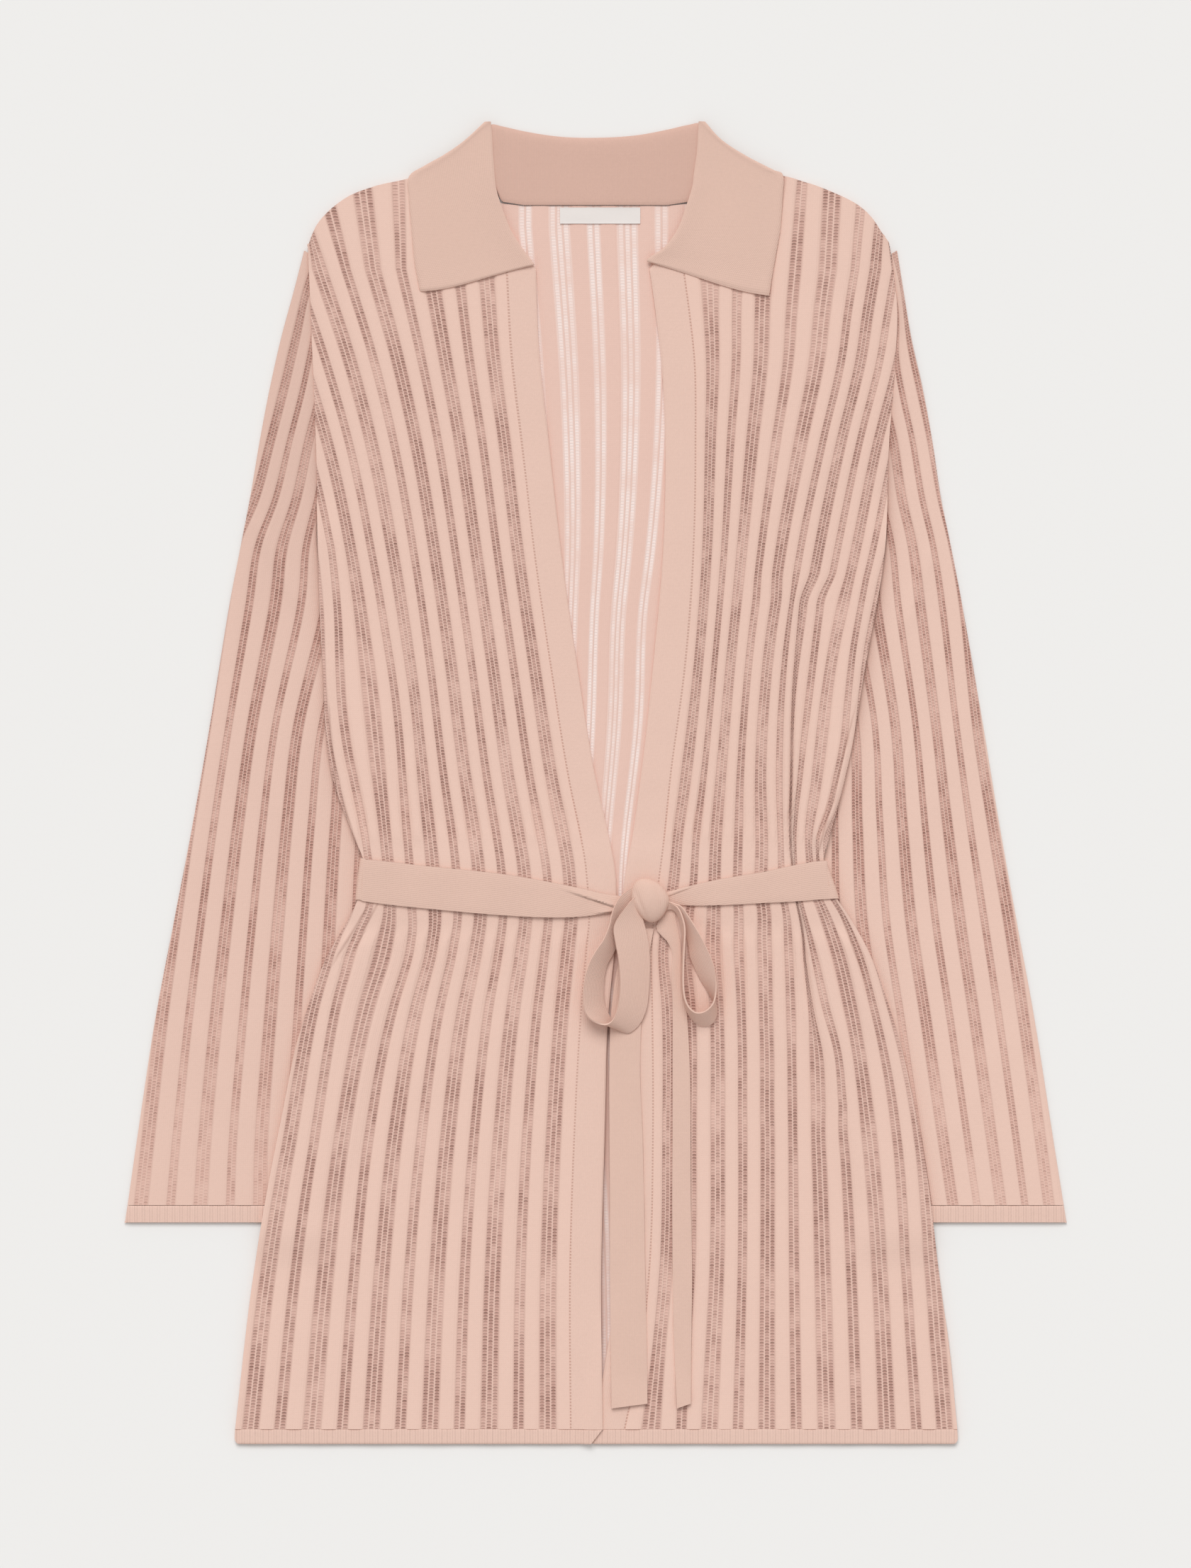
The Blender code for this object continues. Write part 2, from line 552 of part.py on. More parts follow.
def make_hem(name, ends, base, collection):
    """Ribbed hem band: ends are its two x at the seam and at the edge."""
    (top_a, top_b), (low_a, low_b) = ends
    shares = np.linspace(0.0, 1.0, 13)
    outer = []
    inner = []
    for y, a, b, drop in ((HEM_EDGE_Y, low_a, low_b, 0.35), (HEM_EDGE_Y + 1.2, low_a, low_b, 0.0),
                          (HEM_SEAM_Y, top_a, top_b, 0.0)):
        xs = a + (b - a) * shares
        outer.append([(x, y, base(x) + WALL - drop) for x in xs])
        inner.append([(x, y, base(x)) for x in xs])
    return cloth_solid(name, outer, inner, (shares, shares), "knit", collection)


def sleeve_ring(fold_point, hem_point, first, pitch, stripes, rib=SLEEVE_RIB):
    """Outer and inner points of a flattened tube section, with their places.

    The section runs from the outer fold to the inner fold, both given as x and y.
    """
    start = np.array(fold_point, dtype=float)
    way = np.array(hem_point, dtype=float) - start
    width = float(np.hypot(*way))
    way /= width
    top = 2 * SLEEVE_WALL + SEAM_GAP

    def point(distance, z):
        return (start[0] + way[0] * distance, start[1] + way[1] * distance, z)

    columns = stripe_edges([first + pitch * k for k in range(stripes)], [pitch] * stripes)
    count = len(columns)
    step = min(SQUEEZE_STEP, (width - 2 * FOLD) / (2.0 * count + 4))
    top_points = []
    for i, (place, share) in enumerate(columns):
        place = soft_floor(place, FOLD + step * (i + 1))
        place = width - soft_floor(width - place, FOLD + step * (count - i))
        edge = min(place - FOLD, width - FOLD - place)
        top_points.append((place, top + rib * share * float(smooth01(edge / 6.0))))
    outer = [point(width, top)]
    outer += [point(place, z) for place, z in reversed(top_points)]
    outer += [point(FOLD, top), point(0.3, top * 0.8), point(0.0, top * 0.5),
              point(0.3, top * 0.2), point(FOLD, 0.0)]
    outer += [point(width * s, 0.0) for s in LOW_SHARES] + [point(width, 0.0)]
    outer_place = [0.0] + [(width - p) / width for p, _ in reversed(top_points)]
    outer_place += [1.0, 1.25, 1.5, 1.75, 2.0] + [2.0 + s for s in LOW_SHARES] + [3.0]
    inner_top = SLEEVE_WALL + SEAM_GAP
    inner = [point(width - SLEEVE_WALL, inner_top)] + [point(width * s, inner_top) for s in HIGH_SHARES]
    inner += [point(FOLD + 0.4, inner_top), point(FOLD, top * 0.5),
              point(FOLD + 0.4, SLEEVE_WALL)]
    inner += [point(width * s, SLEEVE_WALL) for s in LOW_SHARES]
    inner += [point(width - SLEEVE_WALL, SLEEVE_WALL)]
    inner_place = [0.0] + [1.0 - s for s in HIGH_SHARES] + [1.0, 1.5, 2.0]
    inner_place += [2.0 + s for s in LOW_SHARES] + [3.0]
    return outer, inner, outer_place, inner_place


def make_sleeve(name, rows, cap_rows, body_rows, collection):
    """Sleeve tube, open along the armhole above the underarm."""
    rings = []
    for y, outer_x, inner_x, first, pitch in zip(
            *(rows[c] for c in ("y", "outer", "inner", "first", "pitch"))):
        at_cuff = y == CUFF_SEAM_Y
        height = y + (SEAM_GAP if at_cuff else 0.0)
        rings.append(sleeve_ring((outer_x, height), (inner_x, height), first, pitch,
                                 STRIPES_SLEEVE, 0.0 if at_cuff else SLEEVE_RIB))
    closed_rows = len(rings) - 1
    for y, outer_x, armhole, first, pitch in zip(
            *(cap_rows[c] for c in ("y", "outer", "armhole", "first", "pitch"))):
        side = body_side(body_rows, armhole)
        inner_x = side + np.sign(side) * ARMHOLE_GAP
        rib = 0.0 if armhole == CHEST_Y else SLEEVE_RIB
        rings.append(sleeve_ring((outer_x, y), (inner_x, armhole), first, pitch,
                                 STRIPES_SLEEVE, rib))
    outer = [ring[0] for ring in rings]
    inner = [ring[1] for ring in rings]
    return cloth_solid(name, outer, inner, rings[0][2:], "knit", collection, closed_rows)


def make_cuff(name, rows, collection):
    """Ribbed cuff ring below the sleeve's end."""
    outer_x = rows["outer"][0]
    inner_x = rows["inner"][0]
    rings = []
    for y, spread in ((CUFF_EDGE_Y, 1.2), (CUFF_EDGE_Y + 1.2, 1.4), (CUFF_SEAM_Y, 0.0)):
        fold_x = outer_x + np.sign(outer_x) * spread
        rings.append(sleeve_ring((fold_x, y), (inner_x, y), 0.0, 0.0, 0))
    outer = [ring[0] for ring in rings]
    inner = [ring[1] for ring in rings]
    return cloth_solid(name, outer, inner, rings[0][2:], "knit", collection, len(rings) - 1)


def strip(name, sections, thickness, collection, finish="plain_knit", across=3):
    """A ribbon of cloth through sections, each with its two edges as points."""
    first = np.array([s[0] for s in sections], dtype=float)
    second = np.array([s[1] for s in sections], dtype=float)
    shares = np.linspace(0.0, 1.0, across)
    grid = [[a + (b - a) * s for s in shares] for a, b in zip(first, second)]
    middle = (first + second) / 2
    way = np.gradient(middle, axis=0)
    outer = []
    inner = []
    for row, direction, a, b in zip(grid, way, first, second):
        normal = np.cross(direction, b - a)
        normal /= np.linalg.norm(normal)
        outer.append([p + normal * thickness / 2 for p in row])
        inner.append([p - normal * thickness / 2 for p in row])
    return cloth_solid(name, outer, inner, (shares, shares), finish, collection)


def belt_side(rows, y):
    """Middle of the belt's wall where it turns round the side at height y."""
    side = body_side(rows, y)
    return side + np.sign(side) * (LAYER_GAP + BELT_WALL / 2)


def make_belt(collection):
    edges = (BELT_Y + BELT_WIDTH / 2, BELT_Y - BELT_WIDTH / 2)
    sections = []
    for across in range(-len(SIDE_STEPS), len(SIDE_STEPS) + 1):
        points = []
        for y in edges:
            rows = FRONT_LEFT if across > 0 else FRONT_RIGHT
            side = body_side(rows, y)
            x = 0.0
            if abs(across) == len(SIDE_STEPS):
                x = belt_side(rows, y)
            elif across:
                x = side - np.sign(side) * SIDE_STEPS[len(SIDE_STEPS) - 1 - abs(across)]
            points.append((x, y, float(lift(x, y)) - BELT_LIFT + BELT_WALL / 2))
        sections.append(points)
    strip("belt_back", sections, BELT_WALL, collection, across=2)
    for name, run, steps, rows in (
            ("belt_front_right", BELT_RUN_RIGHT, BELT_STEPS_RIGHT, FRONT_RIGHT),
            ("belt_front_left", BELT_RUN_LEFT, BELT_STEPS_LEFT, FRONT_LEFT)):
        end = int(rows["side"][0] > 0) * -1
        high, low = run["high"][end], run["low"][end]
        xs = (belt_side(rows, high), belt_side(rows, low))
        out = np.sign(xs[0])
        top = cover_height(xs[0], BELT_Y) + BELT_WALL / 2
        start = float(lift(xs[0], BELT_Y)) + TOUCH_GAP
        sections = []
        for inset, z in ((0.0, start), (0.0, start + 1.0), (0.1, top - 1.4), (0.9, top - 0.2),
                         (2.2, top)):
            sections.append(((xs[0] - out * inset, high, z), (xs[1] - out * inset, low, z)))
        for x in steps:
            z = cover_height(x, BELT_Y) + BELT_WALL / 2
            sections.append(((x, np.interp(x, run["x"], run["high"]), z),
                             (x, np.interp(x, run["x"], run["low"]), z)))
        strip(name, sections, BELT_WALL, collection)


def make_bow(collection):
    bpy.ops.mesh.primitive_uv_sphere_add(
        segments=KNOT_SEGMENTS, ring_count=KNOT_RINGS, radius=1.0)
    knot = bpy.context.object
    knot.name = "belt_knot"
    knot.data.name = "belt_knot"
    for vertex in knot.data.vertices:
        squared = 1.0 + 0.16 * (1.0 - abs(vertex.co.z))
        for axis in range(3):
            factor = squared if axis < 2 else 1.0
            value = vertex.co[axis] * min(factor, 1.0 / max(abs(vertex.co[axis]), 0.001))
            vertex.co[axis] = (KNOT_CENTRE[axis] + KNOT_RADII[axis] * value) * MM
    knot.data.materials.append(principled("belt_knot_plain_knit", COLOURS["plain_knit"]))
    for other in list(knot.users_collection):
        other.objects.unlink(knot)
    collection.objects.link(knot)
    strip("bow_loop_right", LOOP_RIGHT, BELT_WALL, collection, across=4)
    strip("bow_loop_left", LOOP_LEFT, BELT_WALL, collection, across=4)
    for name, tail in (("belt_tail_right", TAIL_RIGHT), ("belt_tail_left", TAIL_LEFT)):
        ends = (tail["y"][0], tail["y"][-1])
        heights = [ends[1]] + [y for y in reversed(BODY_ROWS) if ends[0] < y < ends[1]]
        sections = []
        for y in heights + [ends[0]]:
            slant = TAIL_SLANT if y == ends[0] else 0.0
            low_x = np.interp(y, tail["y"], tail["low"])
            high_x = np.interp(y, tail["y"], tail["high"])
            z = cover_height((low_x + high_x) / 2, y) + BELT_WALL / 2
            sections.append(((low_x, y - slant, z), (high_x, y, z)))
        strip(name, sections, BELT_WALL, collection)


def make_leaf(name, rows, collection):
    """One collar leaf: straight rows between its roll and its outer edge."""
    shares = (0.0, 0.04, 0.14, 0.35, 0.65, 0.9, 1.0)
    outer = []
    inner = []
    for (ax, ay), (bx, by) in rows:
        width = float(np.hypot(bx - ax, by - ay))
        top = []
        low = []
        for share in shares:
            x = ax + (bx - ax) * share
            y = ay + (by - ay) * share
            crown = LEAF_CROWN * np.exp(-(width * share / LEAF_CROWN_REACH) ** 2)
            edge = 0.5 if share in (0.0, 1.0) else 0.0
            top.append((x, y, COLLAR_Z + COLLAR_WALL + crown - edge))
            low.append((x, y, COLLAR_Z))
        outer.append(top)
        inner.append(low)
    return cloth_solid(name, outer, inner, (shares, shares), "plain_knit", collection)


def make_collar(collection, helpers):
    """Back fold of the collar with its two leaves joined on."""
    rows = (0.0, 0.05, 0.3, 0.6, 0.85, 0.96, 1.0)
    rounding = (0.45, 0.2, 0.0, 0.0, 0.1, 0.5, 1.3)
    lower_rise = (0.0, 0.0, 0.0, 0.0, 0.0, 0.1, 0.6)
    outer = []
    inner = []
    for share, drop, rise in zip(rows, rounding, lower_rise):
        line = []
        under = []
        for x, low, high, roll in zip(*(COLLAR_BACK[c] for c in ("x", "low", "high", "roll"))):
            y = low + (high - low) * share
            line.append((x, y, roll - drop * (0.4 if roll > 4.0 else 1.0)))
            under.append((x, y, rise))
        outer.append(line)
        inner.append(under)
    places = list(COLLAR_BACK["x"])
    collar = cloth_solid("collar", outer, inner, (places, places), "plain_knit", collection)
    for name, leaf_rows in (("leaf_right", LEAF_RIGHT), ("leaf_left", LEAF_LEFT)):
        leaf = make_leaf(name, leaf_rows, helpers)
        leaf.hide_render = True
        leaf.display_type = "WIRE"
        join = collar.modifiers.new(name, "BOOLEAN")
        join.operation = "UNION"
        join.solver = "EXACT"
        join.object = leaf
    return collar


def make_label(collection):
    x0, x1, y0, y1 = LABEL_BOX
    z = WALL + SEAM_GAP + LABEL_WALL / 2
    middle = (y0 + y1) / 2
    half = (y1 - y0) / 2
    sections = [((x, middle + half, z), (x, middle - half, z)) for x in np.linspace(x0, x1, 4)]
    strip("neck_label", sections, LABEL_WALL, collection, finish="label", across=2)


def make_body(collection):
    make_back(collection)
    make_front("front_right", FRONT_RIGHT, SHOULDER_RIGHT, collection)
    make_front("front_left", FRONT_LEFT, SHOULDER_LEFT, collection)
    make_band("front_band_right", FRONT_RIGHT, BAND_TOP_RIGHT, collection)
    make_band("front_band_left", FRONT_LEFT, BAND_TOP_LEFT, collection)
    right = along(FRONT_RIGHT, "side", HEM_SEAM_Y)
    left = along(FRONT_LEFT, "side", HEM_SEAM_Y)
    make_hem("hem_band_back", ((right, left), (right - 0.6, left + 0.6)),
             lambda x: 0.0, collection)
    make_hem("hem_band_right", ((right, 4.4), (right - 0.6, -3.0)),
             lambda x: front_height(x, HEM_SEAM_Y, True), collection)
    make_hem("hem_band_left", ((-0.9, left), (-1.4, left + 0.6)),
             lambda x: front_height(x, HEM_SEAM_Y, False), collection)


def origin_shift(groups):
    """Move that puts the middle of the whole underside at the origin."""
    corners = np.array([v.co for group in groups for obj in group.objects
                        for v in obj.data.vertices])
    low = corners.min(axis=0)
    high = corners.max(axis=0)
    return -np.array([(low[0] + high[0]) / 2, (low[1] + high[1]) / 2, low[2]])


def clear_scene():
    for obj in list(bpy.data.objects):
        bpy.data.objects.remove(obj, do_unlink=True)


def main():
    clear_scene()
    parts = bpy.data.collections.new(OBJECT_NAME)
    helpers = bpy.data.collections.new("collar_leaves")
    for group in (parts, helpers):
        bpy.context.scene.collection.children.link(group)
    make_body(parts)
    make_sleeve("sleeve_right", SLEEVE_RIGHT, CAP_RIGHT, FRONT_RIGHT, parts)
    make_sleeve("sleeve_left", SLEEVE_LEFT, CAP_LEFT, FRONT_LEFT, parts)
    make_cuff("cuff_right", SLEEVE_RIGHT, parts)
    make_cuff("cuff_left", SLEEVE_LEFT, parts)
    make_collar(parts, helpers)
    make_label(parts)
    make_belt(parts)
    make_bow(parts)
    shift = origin_shift((parts, helpers))
    for group in (parts, helpers):
        for obj in group.objects:
            for vertex in obj.data.vertices:
                for axis in range(3):
                    vertex.co[axis] += shift[axis]


main()
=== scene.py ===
"""Cloth of a ribbed openwork cardigan laid flat, its belt tied in a bow, over its frame.

Lengths in the tables are millimetres in the garment's own layout: +Y from hem to
collar, +X to the wearer's left, Z up from the surface.
"""

import bpy
import numpy as np
from bpy.props import FloatProperty, FloatVectorProperty, PointerProperty
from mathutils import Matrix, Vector


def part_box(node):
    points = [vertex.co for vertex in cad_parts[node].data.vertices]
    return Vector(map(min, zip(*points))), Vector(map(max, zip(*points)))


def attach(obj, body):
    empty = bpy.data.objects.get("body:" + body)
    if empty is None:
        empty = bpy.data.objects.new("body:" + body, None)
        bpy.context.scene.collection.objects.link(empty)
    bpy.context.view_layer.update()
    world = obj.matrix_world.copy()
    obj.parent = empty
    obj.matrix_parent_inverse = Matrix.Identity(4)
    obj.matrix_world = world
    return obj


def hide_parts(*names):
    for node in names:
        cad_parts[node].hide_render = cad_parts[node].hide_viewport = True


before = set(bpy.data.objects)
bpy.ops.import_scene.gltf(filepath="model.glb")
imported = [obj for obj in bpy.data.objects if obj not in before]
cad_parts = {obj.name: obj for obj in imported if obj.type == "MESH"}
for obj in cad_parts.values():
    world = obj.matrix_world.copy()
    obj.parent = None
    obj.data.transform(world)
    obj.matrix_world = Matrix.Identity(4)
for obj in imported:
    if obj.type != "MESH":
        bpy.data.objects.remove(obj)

bl_info = {
    "name": "Ribbed cardigan laid flat",
    "version": (1, 0, 0),
    "blender": (4, 5, 0),
    "location": "3D View > Sidebar > Cardigan",
    "description": "Knitted panels, collar, belt and bow of a cardigan laid flat",
    "category": "Add Mesh",
}

MM = 0.001

# Layers, as in the solids
WALL = 1.2
BAND_WALL = 1.6
SLEEVE_WALL = 1.0
BELT_WALL = 1.0
COLLAR_WALL = 1.4
COLLAR_BACK_WALL = 1.2
LABEL_WALL = 0.45
SEAM_GAP = 0.3
LAYER_GAP = 0.5
TOUCH_GAP = 0.35
SLEEVE_TOP = 2 * SLEEVE_WALL + SEAM_GAP
SLEEVE_LIFT = SLEEVE_TOP + 0.4 + SEAM_GAP
BELT_LIFT = BELT_WALL + 1.5 * SEAM_GAP
FRONT_Z = WALL + LAYER_GAP
FRONT_TOP = FRONT_Z + WALL + 0.45
COLLAR_TOP = FRONT_TOP + TOUCH_GAP + 1.5
GATHER_START_ABOVE = 14.0
GATHER_START_BELOW = 26.0
GATHER_REACH = 45.0
SLEEVE_RAMP = 25.0
BELT_RAMP = 24.0
# Share of its solid's wall that a shell takes, in the upper and the lower layer
UPPER_SHELL = 0.9
LOWER_SHELL = 0.85

# Heights along the body
HEM_SEAM_Y = -411.0
HEM_EDGE_Y = -420.6
CUFF_SEAM_Y = -268.7
CUFF_EDGE_Y = -279.5
CHEST_Y = 328.0
UNDERARM_Y = 183.0
BELT_Y = -60.0
BELT_WIDTH = 26.0
NECK_SEAM_Y = 368.6
NECK_POINT_X = 79.0
CUFF_FLARE = 1.4
HEM_CORNER = 4.4
HEM_CORNER_IN = 3.4
HEM_FLARE = 0.6
# Further out than this, an end of a hem band is at the side of the body
SIDE_AT_LEAST = 100.0

# Cut sizes that a piece's own spans don't give
SLEEVE_LENGTH = 640.0
CUFF_HEIGHT = 11.2
LEAF_CUT = (62.0, 115.0)
LEAST_CUT = 10.2

# Rows and columns of the grids
ROW_STEP = 4.0
FRONT_COLUMNS = 150
SHOULDER_ROWS = 15
BACK_TOP_ROWS = 13
SLEEVE_STATIONS = 170
SLEEVE_OVER = 76
SLEEVE_FOLD = 3
SLEEVE_UNDER = 30
RIBBON_ROWS = 110

# Half widths of the wide and the narrow openwork stripe, as shares of the stripe pitch
BODY_SHARES = (0.29, 0.18)
SLEEVE_SHARES = (0.235, 0.145)
# Stripe coordinate at the band's seam, and the mark on the face that a wall is grown to
SEAM_STRIPE = -0.75
FAR_SIDE = -1.0

# Knit: plain stitches across a stripe pitch, their height, rib pitches, weave of the label
STITCHES_ACROSS = 13.0
STITCH_HEIGHT = 1.3
SEAM_DOT_PITCH = 2.0
HEM_RIB_PITCH = 1.7
CUFF_RIB_PITCH = 1.6
LABEL_WEAVE = 0.45

# Stage, in metres: the surface, the camera over the cloth and the height of its picture
FLOOR_SIZE = 8.0
FLOOR_DROP = 0.0004
CAMERA_HEIGHT = 3.2
PICTURE_HEIGHT = 1.0
SENSOR_HEIGHT = 24.0
WORLD_STRENGTH = 0.55
KEY_ENERGY = 1.75
KEY_ANGLE = 0.6
KEY_TILT = (-0.66, -0.08, 0.0)


def table(columns, *rows):
    """A table of named columns, its first column rising."""
    values = np.array(sorted(rows), dtype=float)
    return {name: values[:, i] for i, name in enumerate(columns.split())}


# Fronts: side of the body, ninth, sixth and first stripe, seam and inner edge of the band
FRONT_RIGHT = table(
    "y side ninth sixth first seam inner",
    (328, -182.6, -207.5, -159.1, -69.8, -57.0, -38.0),
    (273, -180.3, -188.0, -142.0, -65.3, -53.8, -35.7),
    (219, -178.1, -171.3, -128.8, -58.1, -47.5, -29.8),
    (147, -176.7, -155.5, -115.7, -49.3, -39.3, -21.7),
    (75, -173.6, -145.1, -105.3, -38.9, -28.9, -11.5),
    (2, -166.8, -137.4, -96.3, -27.6, -17.2, 0.5),
    (-38, -151.8, -133.3, -90.6, -19.7, -9.0, 9.5),
    (-48, -147.8, -132.3, -89.4, -17.9, -7.3, 11.5),
    (-60, -149.0, -131.5, -88.5, -16.5, -6.0, 13.0),
    (-72, -150.8, -131.2, -88.0, -15.8, -5.1, 13.4),
    (-83, -155.5, -131.1, -87.7, -15.4, -4.5, 13.5),
    (-106, -169.0, -134.9, -90.9, -17.4, -6.3, 12.2),
    (-142, -183.1, -145.5, -99.0, -21.2, -9.5, 8.6),
    (-223, -202.0, -161.1, -110.7, -26.7, -14.0, 5.9),
    (-314, -218.1, -172.2, -118.9, -30.1, -16.7, 3.6),
    (-411, -229.6, -180.8, -124.4, -30.4, -16.3, 4.7),
)
FRONT_LEFT = table(
    "y side ninth sixth first seam inner",
    (328, 189.8, 204.0, 165.4, 72.8, 56.5, 34.4),
    (301, 192.2, 199.0, 161.0, 73.6, 60.2, 38.2),
    (273, 191.2, 194.0, 157.3, 74.6, 63.3, 41.6),
    (219, 187.1, 180.3, 145.1, 73.2, 64.2, 44.3),
    (147, 184.0, 165.4, 130.2, 71.0, 62.8, 42.9),
    (75, 171.8, 149.6, 120.2, 65.5, 57.4, 36.6),
    (2, 158.7, 140.6, 117.0, 57.4, 47.9, 28.5),
    (-38, 147.6, 136.0, 118.0, 52.0, 43.8, 22.6),
    (-48, 145.0, 136.6, 118.2, 51.1, 42.6, 20.6),
    (-60, 148.8, 138.0, 118.5, 50.0, 41.0, 18.5),
    (-72, 153.0, 141.4, 119.6, 48.2, 39.6, 17.4),
    (-83, 160.5, 146.0, 121.5, 46.0, 38.0, 16.5),
    (-106, 173.6, 153.8, 122.9, 43.0, 36.0, 15.5),
    (-142, 187.0, 162.2, 124.3, 45.7, 36.6, 16.7),
    (-223, 206.6, 174.0, 125.7, 46.1, 37.1, 17.2),
    (-314, 219.2, 181.3, 126.6, 44.3, 34.4, 14.9),
    (-360, 225.2, 183.6, 127.2, 40.2, 29.5, 7.5),
    (-411, 230.5, 185.8, 127.9, 35.5, 19.0, -0.9),
)
# Shoulder line over each place across the chest
SHOULDER_RIGHT = table(
    "chest x y",
    (-182.6, -183.0, 343.0), (-173.6, -180.6, 350.0), (-167.0, -177.0, 357.0),
    (-159.0, -169.0, 366.0), (-150.0, -158.0, 374.0), (-137.4, -143.3, 380.0),
    (-120.0, -121.0, 385.3), (-57.0, -92.0, 391.0),
)
SHOULDER_LEFT = table(
    "chest x y",
    (56.5, 92.0, 391.0), (126.0, 130.6, 384.5), (147.4, 150.0, 377.6),
    (157.0, 160.0, 373.0), (165.4, 169.0, 367.7), (174.0, 177.5, 359.0),
    (180.0, 182.0, 352.0), (189.8, 187.0, 345.0),
)
# Tops of the front bands over the chest: height, seam and inner edge
BAND_TOP_RIGHT = ((352.8, -70.8, -54.0), (371.0, -80.9, -65.0), (388.0, -90.3, -74.5))
BAND_TOP_LEFT = ((352.8, 70.4, 54.0), (371.0, 80.7, 65.0), (388.0, 90.3, 74.5))
BACK_TOP = table(
    "x y",
    (-183.0, 343.0), (-177.0, 357.0), (-169.0, 366.0), (-158.0, 374.0), (-143.3, 380.0),
    (-121.0, 385.3), (-92.0, 392.0), (-79.0, 395.0), (-74.5, 388.0), (-66.5, 376.0),
    (-60.0, 370.0), (-46.0, NECK_SEAM_Y), (0.0, NECK_SEAM_Y), (46.0, NECK_SEAM_Y),
    (60.0, 370.0), (66.5, 376.0), (74.5, 388.0), (79.0, 395.0), (92.0, 392.0),
    (130.6, 384.5), (150.0, 377.6), (160.0, 373.0), (169.0, 367.7), (177.5, 359.0),
    (187.0, 345.0),
)
# Middle narrow stripe of the back and its stripe pitch
BACK_STRIPES = table(
    "y middle pitch",
    (355.0, -1.4, 21.7), (247.0, 3.2, 19.4), (147.0, 1.8, 16.5), (111.0, -0.5, 15.4),
    (44.0, -2.7, 15.1), (-61.0, -7.2, 12.2), (-300.0, 6.0, 18.0), (-411.0, 8.0, 19.0),
)
# Sleeve sections from cuff to shoulder: outer fold, inner fold or armhole, stripes
SLEEVE_RIGHT = table(
    "station outer_y outer inner_y inner first pitch",
    (0, CUFF_SEAM_Y, -298.3, CUFF_SEAM_Y, -181.0, 8.5, 19.0),
    (1, -223.5, -291.8, -223.5, -168.0, 7.0, 18.0), (2, -151, -280.8, -151, -150.0, 4.2, 17.3),
    (3, -88, -268.8, -88, -141.0, 1.0, 16.4), (4, -24.6, -256.6, -24.6, -143.0, -1.9, 15.5),
    (5, 38.6, -245.6, 38.6, -152.0, -2.6, 14.8), (6, 111, -233.9, 111, -168.0, -3.8, 16.5),
    (7, 150, -226.5, 150, -176.8, -4.2, 15.4), (8, 183, -220.1, 183, -177.2, 3.4, 13.2),
    (9, 219, -214.0, 219, -178.5, 7.0, 12.2), (10, 252, -207.7, 246, -179.6, 8.9, 11.8),
    (11, 284, -200.5, 273, -180.7, 9.6, 11.6), (12, 314, -192.4, 300, -181.8, 10.0, 12.0),
    (13, 340, -185.7, 338, -183.0, 10.4, 12.4),
)
SLEEVE_LEFT = table(
    "station outer_y outer inner_y inner first pitch",
    (0, CUFF_SEAM_Y, 298.5, CUFF_SEAM_Y, 182.0, 9.5, 15.3),
    (1, -223.5, 291.3, -223.5, 168.0, 8.2, 15.5), (2, -151, 280.0, -151, 150.0, 7.0, 15.6),
    (3, -88, 268.5, -88, 141.0, 5.0, 15.6), (4, -24.6, 257.2, -24.6, 143.0, 4.5, 14.3),
    (5, 38.6, 246.8, 38.6, 154.0, 4.0, 13.0), (6, 111, 234.3, 111, 172.5, -1.0, 14.0),
    (7, 150, 226.8, 150, 184.0, -1.7, 13.1), (8, 183, 220.1, 183, 185.5, -0.6, 12.8),
    (9, 219, 214.6, 219, 187.5, 0.4, 12.3), (10, 252, 208.6, 246, 189.6, 1.3, 12.3),
    (11, 284, 201.4, 273, 191.6, 1.3, 12.3), (12, 314, 196.4, 300, 192.6, 1.1, 12.2),
    (13, 340, 192.2, 338, 189.6, 0.8, 12.0),
)
UNDERARM_STATION = 8.0
# How far the open end at the armhole reaches under the side of the body
ARMHOLE_TUCK = 0.9
# Reach of the roundness at a sleeve's folds
SLEEVE_ROUND = 2.4

# Collar leaves from peak to point: a point on the roll and one on the edge
LEAF_RIGHT = (
    ((-66.6, 421.7), (-70.6, 421.7)), ((-66.0, 416.0), (-83.6, 409.8)),
    ((-65.2, 402.5), (-95.8, 401.2)), ((-64.2, 388.0), (-108.5, 394.0)),
    ((-63.0, 378.5), (-118.9, 386.8)), ((-60.0, 368.5), (-118.9, 372.6)),
    ((-53.8, 352.8), (-117.0, 350.5)), ((-46.1, 340.6), (-115.4, 333.0)),
    ((-40.2, 332.9), (-113.0, 320.0)), ((-38.8, 330.5), (-111.8, 313.6)),
)
LEAF_LEFT = (
    ((65.6, 421.8), (69.8, 421.8)), ((65.2, 416.0), (80.0, 410.6)),
    ((64.5, 402.5), (94.9, 400.7)), ((62.5, 388.0), (112.5, 391.5)),
    ((61.5, 380.0), (119.5, 387.6)), ((57.5, 367.5), (119.0, 372.0)),
    ((52.5, 354.0), (117.8, 354.0)), ((44.0, 342.0), (115.0, 338.0)),
    ((33.8, 335.2), (112.2, 322.0)), ((32.8, 332.6), (110.6, 311.0)),
)
COLLAR_BACK = table(
    "x low high roll",
    (-70.0, 398.0, 418.8, 4.6), (-66.0, 386.0, 420.3, 4.4), (-60.0, 371.2, 419.3, 3.2),
    (-46.0, 368.95, 416.2, 2.7), (-22.0, 368.95, 412.6, 2.7), (3.0, 368.95, 412.0, 2.7),
    (28.0, 368.95, 413.8, 2.7), (46.0, 368.95, 417.2, 2.7), (60.0, 371.2, 420.3, 3.1),
    (66.5, 386.0, 421.0, 4.5), (69.7, 398.0, 419.0, 4.7),
)
